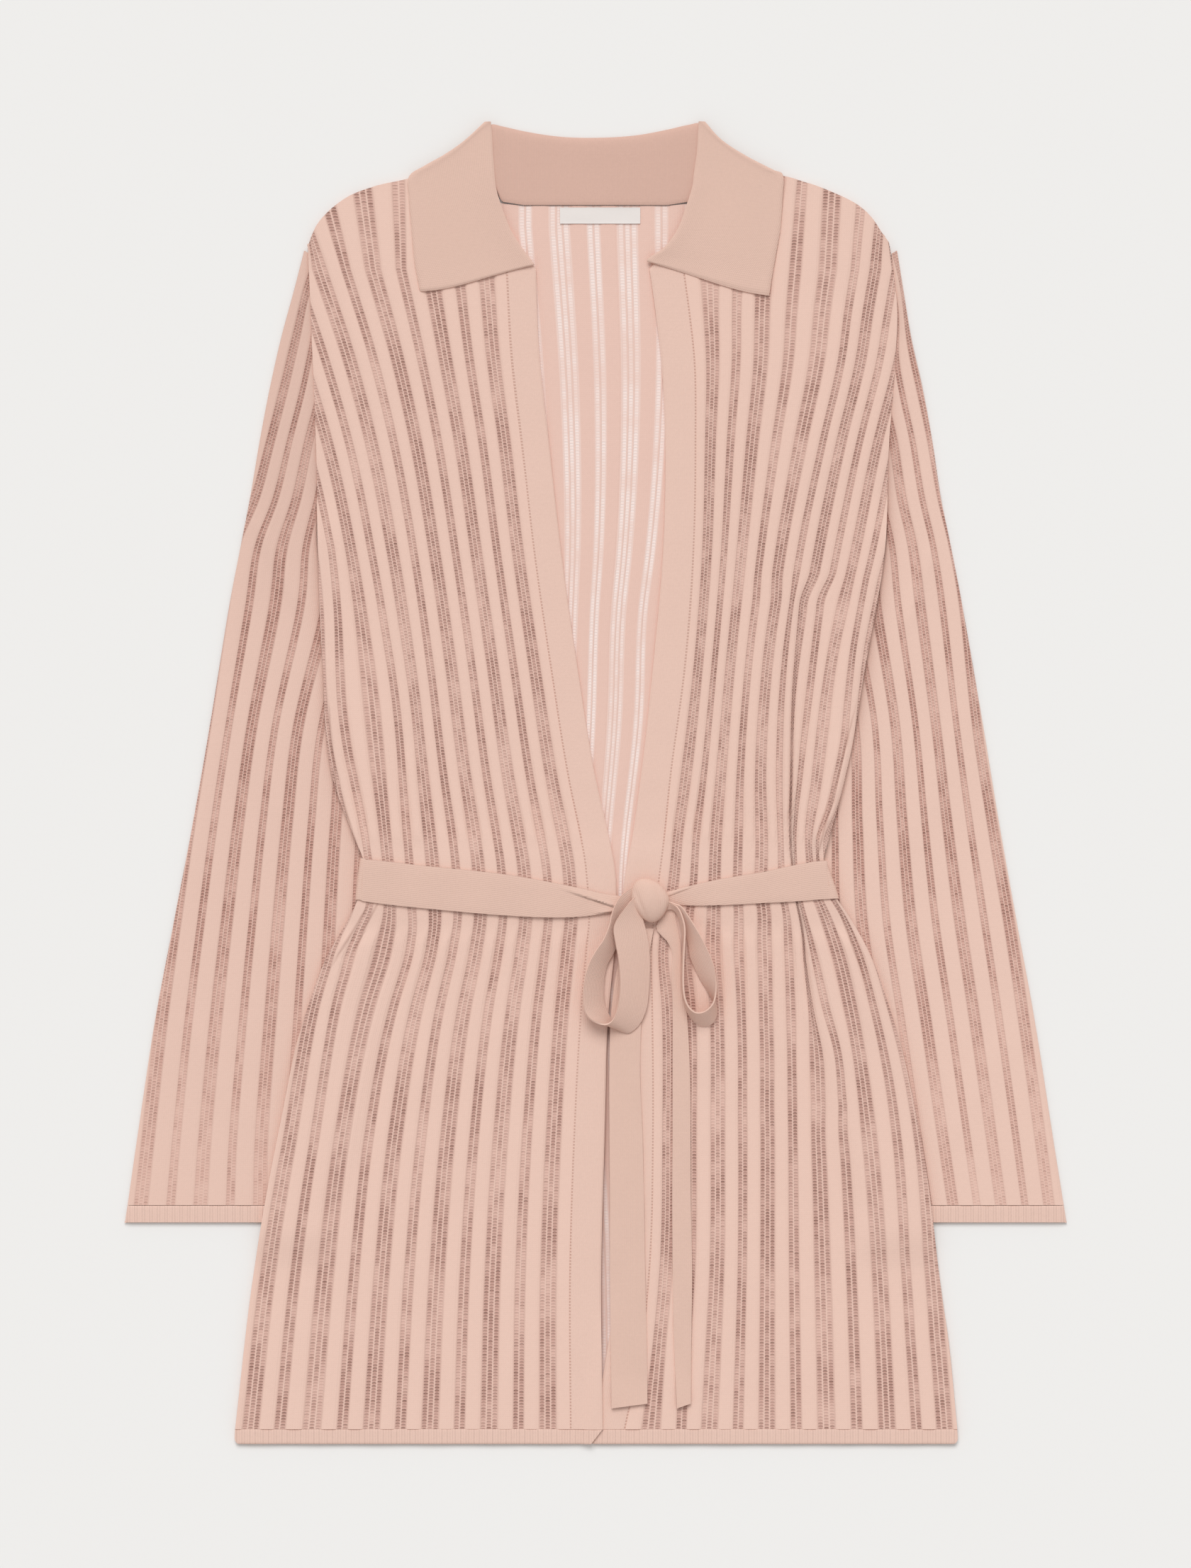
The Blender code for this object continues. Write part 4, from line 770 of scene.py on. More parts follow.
def openwork_material(name, look, ground, stripe, hole, halves=BODY_SHARES, seed=0.0,
                      relief=1.8, closes=None, outer=None):
    """Plain ribs with stripes of small holes, wide and narrow by turns.

    U counts stripes, wide ones on even numbers. V is the way along in millimetres. The
    openwork is fainter at the first of the two places in closes than at the second.
    outer holds the ground, stripe and hole of the far side where they differ.
    """
    knit = Knit(name)
    u, v = knit.uv()
    dim_ground = dimmed(ground, 0.8)
    if outer:
        far = knit.far_side()
        dim_ground = knit.mix(far, dim_ground, dimmed(outer[0], 0.8))
        ground, stripe, hole = (knit.mix(far, inner, outside)
                                for inner, outside in zip((ground, stripe, hole), outer))
    # stripe number, the place in it, and whether it is a narrow one
    number = knit.math("ROUND", u)
    frac = knit.within(u)
    parity = knit.math("ABSOLUTE", knit.within(knit.math("MULTIPLY", number, 0.5)))
    narrow = knit.step(parity, 0.2, 0.3)
    half = knit.math("MULTIPLY_ADD", narrow, halves[1] - halves[0], halves[0])
    # the openwork and its rim
    aside = knit.math("ABSOLUTE", frac)
    beyond = knit.math("SUBTRACT", aside, half)
    inside = knit.math("SUBTRACT", 1.0, knit.step(beyond, -0.03, 0.03))
    rim = knit.math("SUBTRACT", 1.0, knit.step(knit.math("ABSOLUTE", beyond), 0.0, 0.05))
    if closes:
        strength = knit.math("MULTIPLY_ADD", knit.step(v, *closes), 0.5, 0.5)
        inside = knit.math("MULTIPLY", inside, strength)
        rim = knit.math("MULTIPLY", rim, strength)
    # hole columns, three in a wide stripe and two in a narrow one
    spacing = halves[0] / 1.5
    column = knit.math("MULTIPLY_ADD", narrow, 0.5, knit.math("DIVIDE", frac, spacing))
    column_number = knit.math("ROUND", column)
    over = knit.math("SUBTRACT", column, column_number)
    shift = knit.math("MULTIPLY", column_number, 0.5)
    rows = knit.math("ADD", knit.math("DIVIDE", v, look.hole_pitch / MM), shift)
    down = knit.within(rows)
    from_hole = knit.math("SQRT", knit.math("ADD", knit.math("MULTIPLY", over, over), knit.math(
        "MULTIPLY", knit.math("MULTIPLY", down, down), 1.2)))
    own = knit.cell(knit.math("MULTIPLY_ADD", number, 7.0, column_number),
                    knit.math("ROUND", rows), seed)
    eyelet = knit.math("SUBTRACT", 1.0, knit.step(from_hole, 0.2, 0.46))
    eyelet = knit.math("MULTIPLY", eyelet, knit.math("MULTIPLY_ADD", own, 0.6, 0.5))
    # openwork closes up and opens along each stripe
    slow = knit.drift(knit.math("MULTIPLY", number, 3.7), knit.math("DIVIDE", v, 60.0), seed)
    quick = knit.drift(knit.math("MULTIPLY", column_number, 5.3), knit.math("DIVIDE", v, 17.0),
                       knit.math("ADD", number, seed))
    open_share = knit.step(knit.math("MULTIPLY_ADD", quick, 0.8, slow), 0.65, 1.15)
    pierced = knit.math("MULTIPLY", knit.math("MULTIPLY", eyelet, inside),
                        knit.math("MULTIPLY_ADD", open_share, 0.65, 0.35))
    wale = knit.math("MULTIPLY", knit.step(knit.math("ABSOLUTE", over), 0.28, 0.46), inside)
    groove = knit.math("MULTIPLY", knit.math("SUBTRACT", inside, wale), open_share)
    # colour, from the plain ribs to the holes; the holes show the cloth below in painted shade
    mottled = knit.noise(420.0, 4.0)
    cloudy = knit.noise(14.0, 2.0)
    tone = knit.math("MULTIPLY_ADD", mottled, 0.2, knit.math("MULTIPLY", cloudy, 0.12))
    light = knit.mix(tone, ground, dim_ground)
    see_through = knit.math("MULTIPLY", inside, knit.math("MULTIPLY_ADD", open_share, 0.5, 0.45))
    between = knit.mix(see_through, light, stripe)
    between = knit.mix(knit.math("MULTIPLY", groove, 0.2), between, hole)
    between = knit.mix(knit.math("MULTIPLY", wale, 0.75), between, light)
    between = knit.mix(knit.math("MULTIPLY", rim, 0.22), between, hole)
    colour = knit.mix(knit.math("MULTIPLY", pierced, look.hole_depth), between, hole)
    # painted shade from the mesh in folds and beside other pieces, towards the hole colour
    colour = knit.mix(knit.math("MULTIPLY", knit.shade(), 0.8), colour, colour4(look.hole))
    # relief
    plain = stitches(knit, knit.math("MULTIPLY", u, STITCHES_ACROSS),
                     knit.math("DIVIDE", v, STITCH_HEIGHT))
    height = knit.math("MULTIPLY", plain, knit.math("SUBTRACT", 0.45, knit.math(
        "MULTIPLY", inside, 0.3)))
    height = knit.math("MULTIPLY_ADD", pierced, -relief, height)
    height = knit.math("MULTIPLY_ADD", wale, 0.6, height)
    height = knit.math("MULTIPLY_ADD", mottled, 0.3, height)
    return knit.finish(colour, height, 0.35)


def plain_material(name, look, ground, seam_dots=False, ribbed=0.0, folded=False):
    """Fine plain knit. U is the way across and V the way along, in millimetres."""
    knit = Knit(name)
    u, v = knit.uv()
    mottled = knit.noise(520.0, 4.0)
    cloudy = knit.noise(22.0, 2.0)
    tone = knit.math("MULTIPLY_ADD", mottled, 0.25, knit.math("MULTIPLY", cloudy, 0.14))
    colour = knit.mix(tone, ground, dimmed(ground, 0.78))
    height = stitches(knit, knit.math("DIVIDE", u, look.stitch_width / MM),
                      knit.math("DIVIDE", v, look.stitch_width / MM * 0.8))
    height = knit.math("MULTIPLY_ADD", mottled, 0.5, height)
    if ribbed:
        groove = knit.math("ABSOLUTE", knit.within(knit.math("DIVIDE", u, ribbed)))
        line = knit.step(groove, 0.2, 0.5)
        colour = knit.mix(knit.math("MULTIPLY", line, 0.16), colour, dimmed(ground, 0.6))
        height = knit.math("MULTIPLY_ADD", line, -0.6, height)
    # painted shade along folded edges, from the mesh's shade attribute
    if folded:
        colour = knit.mix(knit.math("MULTIPLY", knit.shade(), 0.7), colour,
                          dimmed(ground, 0.42))
    if seam_dots:
        near = knit.math("SUBTRACT", 1.0, knit.step(knit.math("ABSOLUTE", knit.math(
            "SUBTRACT", u, 0.5)), 0.25, 0.8))
        dot = knit.math("SUBTRACT", 1.0, knit.step(knit.math("ABSOLUTE", knit.within(
            knit.math("DIVIDE", v, SEAM_DOT_PITCH))), 0.15, 0.4))
        mark = knit.math("MULTIPLY", near, dot)
        colour = knit.mix(knit.math("MULTIPLY", mark, 0.55), colour,
                          (ground[0] * 0.52, ground[1] * 0.38, ground[2] * 0.34, 1.0))
        height = knit.math("MULTIPLY_ADD", mark, -0.4, height)
    return knit.finish(colour, height, 0.22)


def tucked(known, side_of, height):
    """Stripe places of the left front with its wide stripe tucked in the waist's fold."""
    fold, following, tuck = (float(along(WAIST_FOLD, name, height))
                             for name in ("fold", "next", "tuck"))
    near = float(smooth01((WAIST_FOLD_TOP - height) / 24.0)
                 * smooth01((height - WAIST_FOLD_FOOT) / 35.0))
    fifth, eighth = known[5.0], known[8.0]
    sixth = fifth + (eighth - fifth) / 3
    seventh = fifth + 2 * (eighth - fifth) / 3
    sixth += (fold - side_of - sixth) * near
    seventh += (following - side_of - seventh) * near
    before = fifth + (sixth - fifth) * (1.0 - WIDE_HALF)
    after = sixth + (seventh - sixth) * WIDE_HALF
    before += (sixth - 0.7 - before) * tuck * near
    after += (min(sixth + 0.7, seventh - 0.3) - after) * tuck * near
    known.update({6.0 - WIDE_HALF: before, 6.0: sixth, 6.0 + WIDE_HALF: after, 7.0: seventh})
    return known


def front_grid(side_name):
    """Places of a front's points and their stripe coordinate."""
    rows = SIDES[side_name]["front"]
    shoulder = SIDES[side_name]["shoulder"]
    ys = np.linspace(HEM_SEAM_Y, CHEST_Y, int((CHEST_Y - HEM_SEAM_Y) / ROW_STEP))
    shares = np.linspace(0.0, 1.0, FRONT_COLUMNS)
    seam = along(rows, "seam", ys)[:, None]
    side = along(rows, "side", ys)[:, None]
    x = seam + (side - seam) * shares
    y = np.repeat(ys[:, None], FRONT_COLUMNS, axis=1)
    stripe = np.empty_like(x)
    marks = np.linspace(SEAM_STRIPE, 14.0, 400)
    for i, height in enumerate(ys):
        places = [abs(float(along(rows, name, height)) - float(seam[i, 0]))
                  for name in ("first", "sixth", "ninth")]
        pitch = (places[2] - places[1]) / 3
        rest = abs(float(side[i, 0] - seam[i, 0])) - places[2]
        tenth = places[2] + max(0.42 * rest, 0.92 * pitch)
        tenth += float(along(SIDES[side_name]["stripe_shift"], "shift", height))
        eleventh = tenth + max(0.38 * rest, 0.92 * pitch)
        known = {SEAM_STRIPE: 0.0, 0.0: places[0], 5.0: places[1], 8.0: places[2], 9.0: tenth,
                 10.0: eleventh, 14.0: eleventh + 4 * pitch}
        if side_name == "left":
            third = 0.4 - 0.028 * float(smooth01((height + 120.0) / 80.0))
            known[2.0] = places[0] + (places[1] - places[0]) * third
            known = tucked(known, float(seam[i, 0]), height)
        known = table("stripe place", *known.items())
        stripe[i] = np.interp(np.abs(x[i] - seam[i, 0]), along(known, "place", marks), marks)
    top_x = along(shoulder, "x", x[-1])
    top_y = along(shoulder, "y", x[-1])
    for t in np.linspace(0.0, 1.0, SHOULDER_ROWS + 1)[1:]:
        x = np.vstack([x, x[len(ys) - 1] + (top_x - x[len(ys) - 1]) * t])
        y = np.vstack([y, CHEST_Y + (top_y - CHEST_Y) * t])
        stripe = np.vstack([stripe, stripe[len(ys) - 1]])
    return x, y, stripe


def turned(reverse, *grids):
    """The grids with the column order that makes the cloth face up."""
    return [grid[:, ::-1] for grid in grids] if reverse else grids


def make_front(side_name, look):
    """A front panel with its ribs, pleats at the belt, creases and folded edges."""
    right = side_name == "right"
    side = SIDES[side_name]
    x, y, stripe = front_grid(side_name)
    ribs = rib_relief(stripe)
    pleat = gather(y)
    shade = np.zeros_like(x)
    base = FRONT_Z + lift(x, y) + WALL
    z = base + look.rib_height / MM * ribs
    z += (1.1 * pleat + 0.25) * ribs * (0.8 + 0.2 * np.sin(stripe * 2.3 + y / 19.0))
    z += creases(side["creases"], x, y)
    clear = smooth01((np.abs(y - BELT_Y + 6.0) - 22.0) / 14.0)
    if not right:
        aside = x - along(WAIST_FOLD, "fold", y)
        tuck = along(WAIST_FOLD, "tuck", y) * (y < TUCK_TOP) * (y > TUCK_FOOT)
        z += tuck * (1.0 * np.exp(-((np.abs(aside) - 3.2) / 2.4) ** 2)
                     - 0.9 * np.exp(-(aside / 1.1) ** 2))
        # painted shade in the trough of the waist's fold
        shade += 0.5 * tuck * np.exp(-(aside / 0.6) ** 2)
    # folded edges, with painted shade along their lines
    raised, edge_shade = fold_steps(side["folds"], x, y)
    z += raised
    shade += edge_shade
    z = z - (1.0 - clear) * np.maximum(z - base - 0.45, 0.0)
    z += clear * swell(x, y, 0.35, side["front_phase"])
    if right:
        z += overlap(x, y)
        base += overlap(x, y)
    z = np.maximum(z, base - 0.35)
    points = np.stack([x, y, z], axis=-1)
    uv = np.stack([stripe, y], axis=-1)
    points, uv, shade = turned(right, points, uv, shade)
    material = openwork_material("front_" + side_name + "_knit", look, colour4(look.knit),
                                 colour4(look.stripe), colour4(look.hole),
                                 seed=side["front_seed"])
    obj = cloth("cloth_front_" + side_name, points, uv, WALL * UPPER_SHELL, material,
                shade=shade)
    lay(obj, "front_" + side_name, points)


def make_band(side_name, look):
    """The plain band along a front's edge, from hem to neck."""
    right = side_name == "right"
    rows = SIDES[side_name]["front"]
    ys = np.linspace(HEM_SEAM_Y, CHEST_Y, 190)
    seam = along(rows, "seam", ys)
    inner = along(rows, "inner", ys)
    for top_y, top_seam, top_inner in SIDES[side_name]["band_top"]:
        ys = np.append(ys, top_y)
        seam = np.append(seam, top_seam)
        inner = np.append(inner, top_inner)
    shares = BAND_SECTION["share"]
    way = np.sign(inner - seam)[:, None]
    start = seam[:, None] - 0.7 * way
    x = start + (inner[:, None] - start) * shares
    y = np.repeat(ys[:, None], len(shares), axis=1)
    z = FRONT_Z + lift(x, y) + BAND_WALL + 0.15 - BAND_SECTION["drop"]
    z += 0.5 * gather(y) * np.sin(y / 5.0) * shares * (1.0 - shares) * 2.0
    if right:
        z += overlap(x, y)
    points = np.stack([x, y, z], axis=-1)
    uv = np.stack([np.abs(x - seam[:, None]), y], axis=-1)
    points, uv = turned(not right, points, uv)
    material = plain_material("band_" + side_name, look, colour4(look.band), seam_dots=True)
    obj = cloth("cloth_front_band_" + side_name, points, uv, BAND_WALL * UPPER_SHELL, material)
    width = float(np.abs(inner - seam).max())
    length = float(np.hypot(np.diff(seam), np.diff(ys)).sum())
    lay(obj, "front_band_" + side_name, points,
        size=(width, length))


def make_hem(node, left_end, right_end, base, look):
    """Hem band between its two ends, each given at the seam and at the edge.

    An end at the side of the body has a rounded corner.
    """
    shares = np.linspace(0.0, 1.0, 160)
    rise = HEM_SECTION["rise"]
    ys = HEM_EDGE_Y + rise
    t = (rise / (HEM_SEAM_Y - HEM_EDGE_Y))[:, None]
    corner = 1.0 - np.sqrt(np.clip(1.0 - (1.0 - rise / HEM_CORNER) ** 2, 0.0, 1.0))[:, None]
    corner = np.where(rise[:, None] > HEM_CORNER, 0.0, HEM_CORNER_IN * corner)
    left = left_end[1] + (left_end[0] - left_end[1]) * t
    left = left + corner * (left_end[0] < -SIDE_AT_LEAST)
    right = right_end[1] + (right_end[0] - right_end[1]) * t
    right = right - corner * (right_end[0] > SIDE_AT_LEAST)
    x = left + (right - left) * shares
    y = np.repeat(ys[:, None], len(shares), axis=1)
    z = base(x) + WALL + 0.25 - HEM_SECTION["drop"][:, None] + 0.12 * np.sin(x / 5.9)
    points = np.stack([x, y, z], axis=-1)
    uv = np.stack([x, y], axis=-1)
    material = plain_material(node + "_rib", look, colour4(look.band), ribbed=HEM_RIB_PITCH)
    obj = cloth("cloth_" + node, points, uv, WALL * UPPER_SHELL, material)
    lay(obj, node, points)


def sleeve_grid(rows, stations):
    """Ring of points for each station: inner edge, top, outer fold, underside."""
    get = {name: along(rows, name, stations)[:, None] for name in rows if name != "station"}
    open_arm = smooth01((stations - UNDERARM_STATION) / 0.6)[:, None]
    get["inner"] = get["inner"] - ARMHOLE_TUCK * open_arm * np.sign(get["outer"])
    dx = get["inner"] - get["outer"]
    dy = get["inner_y"] - get["outer_y"]
    width = np.hypot(dx, dy)
    over = np.linspace(1.0, 0.0, SLEEVE_OVER)
    fold = np.linspace(0.0, 1.0, SLEEVE_FOLD + 2)[1:-1]
    under = np.linspace(0.0, 1.0, SLEEVE_UNDER)
    share = np.concatenate([over, np.zeros(SLEEVE_FOLD), under])
    top_z = np.concatenate([np.ones(SLEEVE_OVER), 1.0 - fold, np.zeros(SLEEVE_UNDER)])
    near = share[None, :] * width
    rounded = np.sqrt(np.clip(1.0 - (1.0 - np.clip(near / SLEEVE_ROUND, 0.0, 1.0)) ** 2,
                              0.0, 1.0))
    far = (width - near) / SLEEVE_ROUND
    inner_round = np.sqrt(np.clip(1.0 - (1.0 - np.clip(far, 0.0, 1.0)) ** 2, 0.0, 1.0))
    inner_round = inner_round + (1.0 - inner_round) * open_arm
    middle = SLEEVE_TOP / 2
    z = middle + (top_z[None, :] * SLEEVE_TOP - middle) * np.minimum(rounded, inner_round)
    z[:, SLEEVE_OVER:SLEEVE_OVER + SLEEVE_FOLD] = middle
    x = get["outer"] + dx * share
    y = get["outer_y"] + dy * share
    signed = np.where(np.arange(len(share)) < SLEEVE_OVER + SLEEVE_FOLD - 1, near, -near)
    stripe = (signed - get["first"]) / get["pitch"]
    return x, y, z, stripe, np.repeat(top_z[None, :], len(stations), axis=0), near, width


def make_sleeve(side_name, look):
    """A sleeve laid flat, its upper layer ribbed and creased."""
    right = side_name == "right"
    side = SIDES[side_name]
    rows = side["sleeve"]
    stations = np.linspace(0.0, rows["station"][-1], SLEEVE_STATIONS)
    x, y, z, stripe, on_top, near, width = sleeve_grid(rows, stations)
    y[:, :] += SEAM_GAP * np.exp(-((stations / 0.05) ** 2))[:, None]
    edge = smooth01(np.minimum(near, width - near) / 6.0)
    ribs = rib_relief(stripe, SLEEVE_SHARES)
    z += on_top * edge * (look.rib_height / MM * 0.9 * ribs)
    fold = creases(side["sleeve_creases"], x, y)
    body = np.abs(along(side["front"], "side", np.clip(y, HEM_SEAM_Y, CHEST_Y)))
    clear = smooth01((np.abs(x) - body - 1.0) / 10.0)
    z += on_top * edge * clear * (fold + swell(x, y, 0.3, side["sleeve_phase"]))
    # painted shade on the sleeve's top beside the body's side, stronger near the armhole
    beside = np.exp(-np.maximum(np.abs(x) - body, 0.0) / side["armhole_reach"])
    arm = smooth01((y - 10.0) / 50.0) * smooth01((260.0 - y) / 60.0)
    shade = on_top * (0.12 + arm * side["armhole_shade"]) * beside
    # painted shade as well: the right sleeve darker all over, more towards the shoulder
    if right:
        shade += 0.075 + 0.12 * smooth01((y - 60.0) / 150.0)
    points = np.stack([x, y, z], axis=-1)
    uv = np.stack([stripe, y], axis=-1)
    points, uv, shade = turned(right, points, uv, shade)
    material = openwork_material("sleeve_" + side_name + "_knit", look, colour4(look.knit),
                                 colour4(look.sleeve_stripe), colour4(look.hole),
                                 halves=SLEEVE_SHARES, seed=side["sleeve_seed"],
                                 closes=(-270.0, -40.0))
    obj = cloth("cloth_sleeve_" + side_name, points, uv, SLEEVE_WALL * LOWER_SHELL, material,
                closed=True, shade=shade)
    lay(obj, "sleeve_" + side_name, points,
        size=(2 * float(width.max()), SLEEVE_LENGTH))


def make_cuff(side_name, look):
    """The ribbed band round a sleeve's end."""
    right = side_name == "right"
    source = SIDES[side_name]["sleeve"]
    outer = source["outer"][0]
    out = np.sign(outer)
    rows = table("station outer_y outer inner_y inner first pitch",
                 (0, CUFF_EDGE_Y, outer + out * 1.2, CUFF_EDGE_Y, source["inner"][0], 0, 9.0),
                 (1, -277.9, outer + out * CUFF_FLARE, -277.9, source["inner"][0], 0, 9.0),
                 (2, CUFF_SEAM_Y, outer, CUFF_SEAM_Y, source["inner"][0], 0, 9.0))
    x, y, z, _, on_top, _, width = sleeve_grid(rows, CUFF_SECTION["station"])
    z += (0.3 - CUFF_SECTION["drop"][:, None]) * on_top
    points = np.stack([x, y, z], axis=-1)
    uv = np.stack([x, y], axis=-1)
    points, uv = turned(right, points, uv)
    material = plain_material("cuff_" + side_name + "_rib", look, colour4(look.band),
                              ribbed=CUFF_RIB_PITCH)
    obj = cloth("cloth_cuff_" + side_name, points, uv, SLEEVE_WALL * LOWER_SHELL, material,
                closed=True)
    lay(obj, "cuff_" + side_name, points,
        size=(2 * float(width.max()), CUFF_HEIGHT))


def make_back(look):
    """The back panel, whose inside shows at the neck."""
    ys = np.linspace(HEM_SEAM_Y + SEAM_GAP, CHEST_Y, 185)
    # closer columns where the back's shade lies beside the right band
    shares = np.sort(np.append(np.linspace(0.0, 1.0, 120), np.linspace(0.487, 0.557, 36)))
    right = along(FRONT_RIGHT, "side", ys)[:, None]
    left = along(FRONT_LEFT, "side", ys)[:, None]
    x = right + (left - right) * shares
    y = np.repeat(ys[:, None], len(shares), axis=1)
    chest = x[-1]
    ends = np.interp(chest, (chest[0], -NECK_POINT_X, NECK_POINT_X, chest[-1]),
                     (BACK_TOP["x"][0], -NECK_POINT_X, NECK_POINT_X, BACK_TOP["x"][-1]))
    tops = np.interp(ends, BACK_TOP["x"], BACK_TOP["y"])
    for t in np.linspace(0.0, 1.0, BACK_TOP_ROWS + 1)[1:]:
        x = np.vstack([x, chest + (ends - chest) * t])
        y = np.vstack([y, CHEST_Y + (tops - CHEST_Y) * t])
    stripe = (x - along(BACK_STRIPES, "middle", y)) / along(BACK_STRIPES, "pitch", y) + 1.0
    z = lift(x, y) + WALL - 0.1 + 0.35 * rib_relief(stripe)
    z += np.exp(-(x / 60.0) ** 2) * smooth01((y + 30.0) / 60.0) * swell(x, y, 0.12, 1.1)
    # painted shadow on the back beside the right band's inner edge, below the knot
    beside = x - along(FRONT_RIGHT, "inner", np.clip(y, HEM_SEAM_Y, CHEST_Y))
    shade = smooth01((-95.0 - y) / 20.0) * smooth01((y + 385.0) / 40.0)
    shade *= smooth01((beside + 1.2) / 0.6) * np.exp(-np.maximum(beside, 0.0) / 1.9)
    points = np.stack([x, y, z], axis=-1)
    uv = np.stack([stripe, y], axis=-1)
    material = openwork_material("back_panel_knit", look, colour4(look.back_knit),
                                 colour4(look.back_stripe), colour4(look.back_hole), seed=89.0,
                                 relief=0.4, outer=(colour4(look.knit), colour4(look.stripe),
                                                    colour4(look.hole)))
    obj = cloth("cloth_back", points, uv, WALL * LOWER_SHELL, material, shade=shade)
    lay(obj, "back_panel", points)


def ribbon(name, sections, look, width, folds=(), crown=0.0, wave=0.0,
           rows=RIBBON_ROWS):
    """A stretch of the belt through sections, each given by its two edge points."""
    edges = through(sections, rows)
    shares = np.concatenate([(0.0, 0.03), np.linspace(0.08, 0.92, 22), (0.97, 1.0)])
    a = edges[:, 0][:, None, :]
    b = edges[:, 1][:, None, :]
    points = a + (b - a) * shares[None, :, None]
    middle = (edges[:, 0] + edges[:, 1]) / 2
    way = np.gradient(middle, axis=0)
    normal = np.cross(way, edges[:, 1] - edges[:, 0])
    normal /= np.linalg.norm(normal, axis=1)[:, None]
    far = np.append(0.0, np.cumsum(np.linalg.norm(np.diff(middle, axis=0), axis=1)))
    bow = crown * (1.0 - (2.0 * shares - 1.0) ** 4)[None, :]
    bow = bow + wave * np.sin(far / 7.0)[:, None] * np.cos(3.0 * shares)[None, :]
    up = np.sign(normal[:, 2:3])
    up[up == 0.0] = 1.0
    points = points + normal[:, None, :] * bow[:, :, None] * up[:, None, :]
    raised, shade = fold_steps(folds, points[..., 0], points[..., 1])
    points[..., 2] += raised
    across = np.linalg.norm(points - points[:, :1], axis=-1)
    uv = np.stack([across, np.repeat(far[:, None], len(shares), axis=1)], axis=-1)
    material = plain_material(name, look, colour4(look.plain), folded=bool(folds))
    obj = cloth("cloth_" + name, points, uv, BELT_WALL, material, offset=0.0, shade=shade)
    lay(obj, name, points, size=(width, float(far[-1])))


def leaf_grid(rows, count=44):
    """Collar leaf as a grid: rows from peak to point, columns from roll to edge."""
    edges = through(rows, count)
    shares = np.concatenate([np.linspace(0.0, 0.12, 6)[:-1], np.linspace(0.12, 0.92, 22),
                             np.linspace(0.92, 1.0, 6)[1:]])
    points = edges[:, :1] + (edges[:, 1:] - edges[:, :1]) * shares[None, :, None]
    return points, shares


def make_leaf(side_name, look):
    """One leaf of the folded collar, lying on its front."""
    right = side_name == "right"
    side = SIDES[side_name]
    flat, shares = leaf_grid(side["leaf"])
    width = np.linalg.norm(flat[:, -1] - flat[:, 0], axis=-1)[:, None]
    from_roll = width * shares
    from_edge = width * (1.0 - shares)
    steps = np.linalg.norm(np.diff(flat.mean(axis=1), axis=0), axis=1)
    far = np.append(0.0, np.cumsum(steps))[:, None]
    from_point = far[-1] - far
    flat[..., 1] -= 1.9 * np.exp(-(from_point / 7.0) ** 2) * np.sin(np.pi * shares ** 2)
    z = COLLAR_TOP + 0.8 * np.exp(-(from_roll / 9.0) ** 2)
    z += 0.35 * np.exp(-((from_edge - 3.5) / 2.0) ** 2)
    for gap in (from_roll, from_edge, from_point):
        z = z - 0.8 * (1.0 - np.sqrt(1.0 - (1.0 - np.clip(gap / 1.6, 0.0, 1.0)) ** 2))
    z += swell(flat[..., 0] * 1.6, flat[..., 1] * 1.6, 0.25, side["leaf_phase"])
    points = np.concatenate([flat, z[..., None]], axis=-1)
    uv = np.stack([from_roll, np.repeat(far, len(shares), axis=1)], axis=-1)
    points, uv = turned(right, points[::-1], uv[::-1])
    material = plain_material("leaf_" + side_name, look, colour4(look.plain))
    obj = cloth("cloth_leaf_" + side_name, points, uv, COLLAR_WALL, material)
    lay(obj, "collar" if right else None, points,
        size=LEAF_CUT)


def make_collar_back(look):
    """The collar behind the neck, seen from its inside."""
    xs = np.linspace(COLLAR_BACK["x"][0], COLLAR_BACK["x"][-1], 90)
    low = np.interp(xs, COLLAR_BACK["x"], COLLAR_BACK["low"])
    high = along(COLLAR_BACK, "high", xs)
    roll = along(COLLAR_BACK, "roll", xs)
    shares = COLLAR_BACK_SECTION["share"]
    y = low + (high - low) * shares[:, None]
    x = np.repeat(xs[None, :], len(shares), axis=0)
    z = roll[None, :] - COLLAR_BACK_SECTION["drop"][:, None] + swell(x * 2.0, y * 2.0, 0.15, 0.8)
    points = np.stack([x, y, z], axis=-1)
    uv = np.stack([x, y], axis=-1)
    # painted shade: the collar behind the neck takes the plain knit colour darkened
    material = plain_material("shaded_collar_back", look, colour4(look.shaded_collar_back))
    obj = cloth("cloth_collar_back", points, uv, COLLAR_BACK_WALL, material)
    lay(obj, None, points)


def make_label(look):
    """The bare woven label under the neck seam."""
    x0, x1, y0, y1 = LABEL_BOX
    xs = np.linspace(x0, x1, 40)
    ys = np.linspace(y0, y1, 12)
    x, y = np.meshgrid(xs, ys)
    z = WALL + SEAM_GAP + 0.55 + 0.12 * np.sin((x - x0) / 8.0) * np.sin((y - y0) / 3.2)
    edge = np.minimum(np.minimum(x - x0, x1 - x), np.minimum(y - y0, y1 - y))
    z += 0.15 * (1.0 - smooth01(edge / 1.0))
    points = np.stack([x, y, z], axis=-1)
    knit = Knit("label_ribbon", 0.6, 0.1)
    u, v = knit.uv()
    weave = knit.math("ADD", *(knit.math("ABSOLUTE", knit.within(
        knit.math("DIVIDE", part, LABEL_WEAVE))) for part in (u, v)))
    ribbon_colour = knit.mix(knit.math("MULTIPLY", weave, 0.6), colour4(look.label),
                             dimmed(look.label, 0.86))
    material = knit.finish(ribbon_colour, weave, 0.1)
    obj = cloth("cloth_label", points, np.stack([x, y], axis=-1), LABEL_WALL, material)
    lay(obj, "neck_label", points)


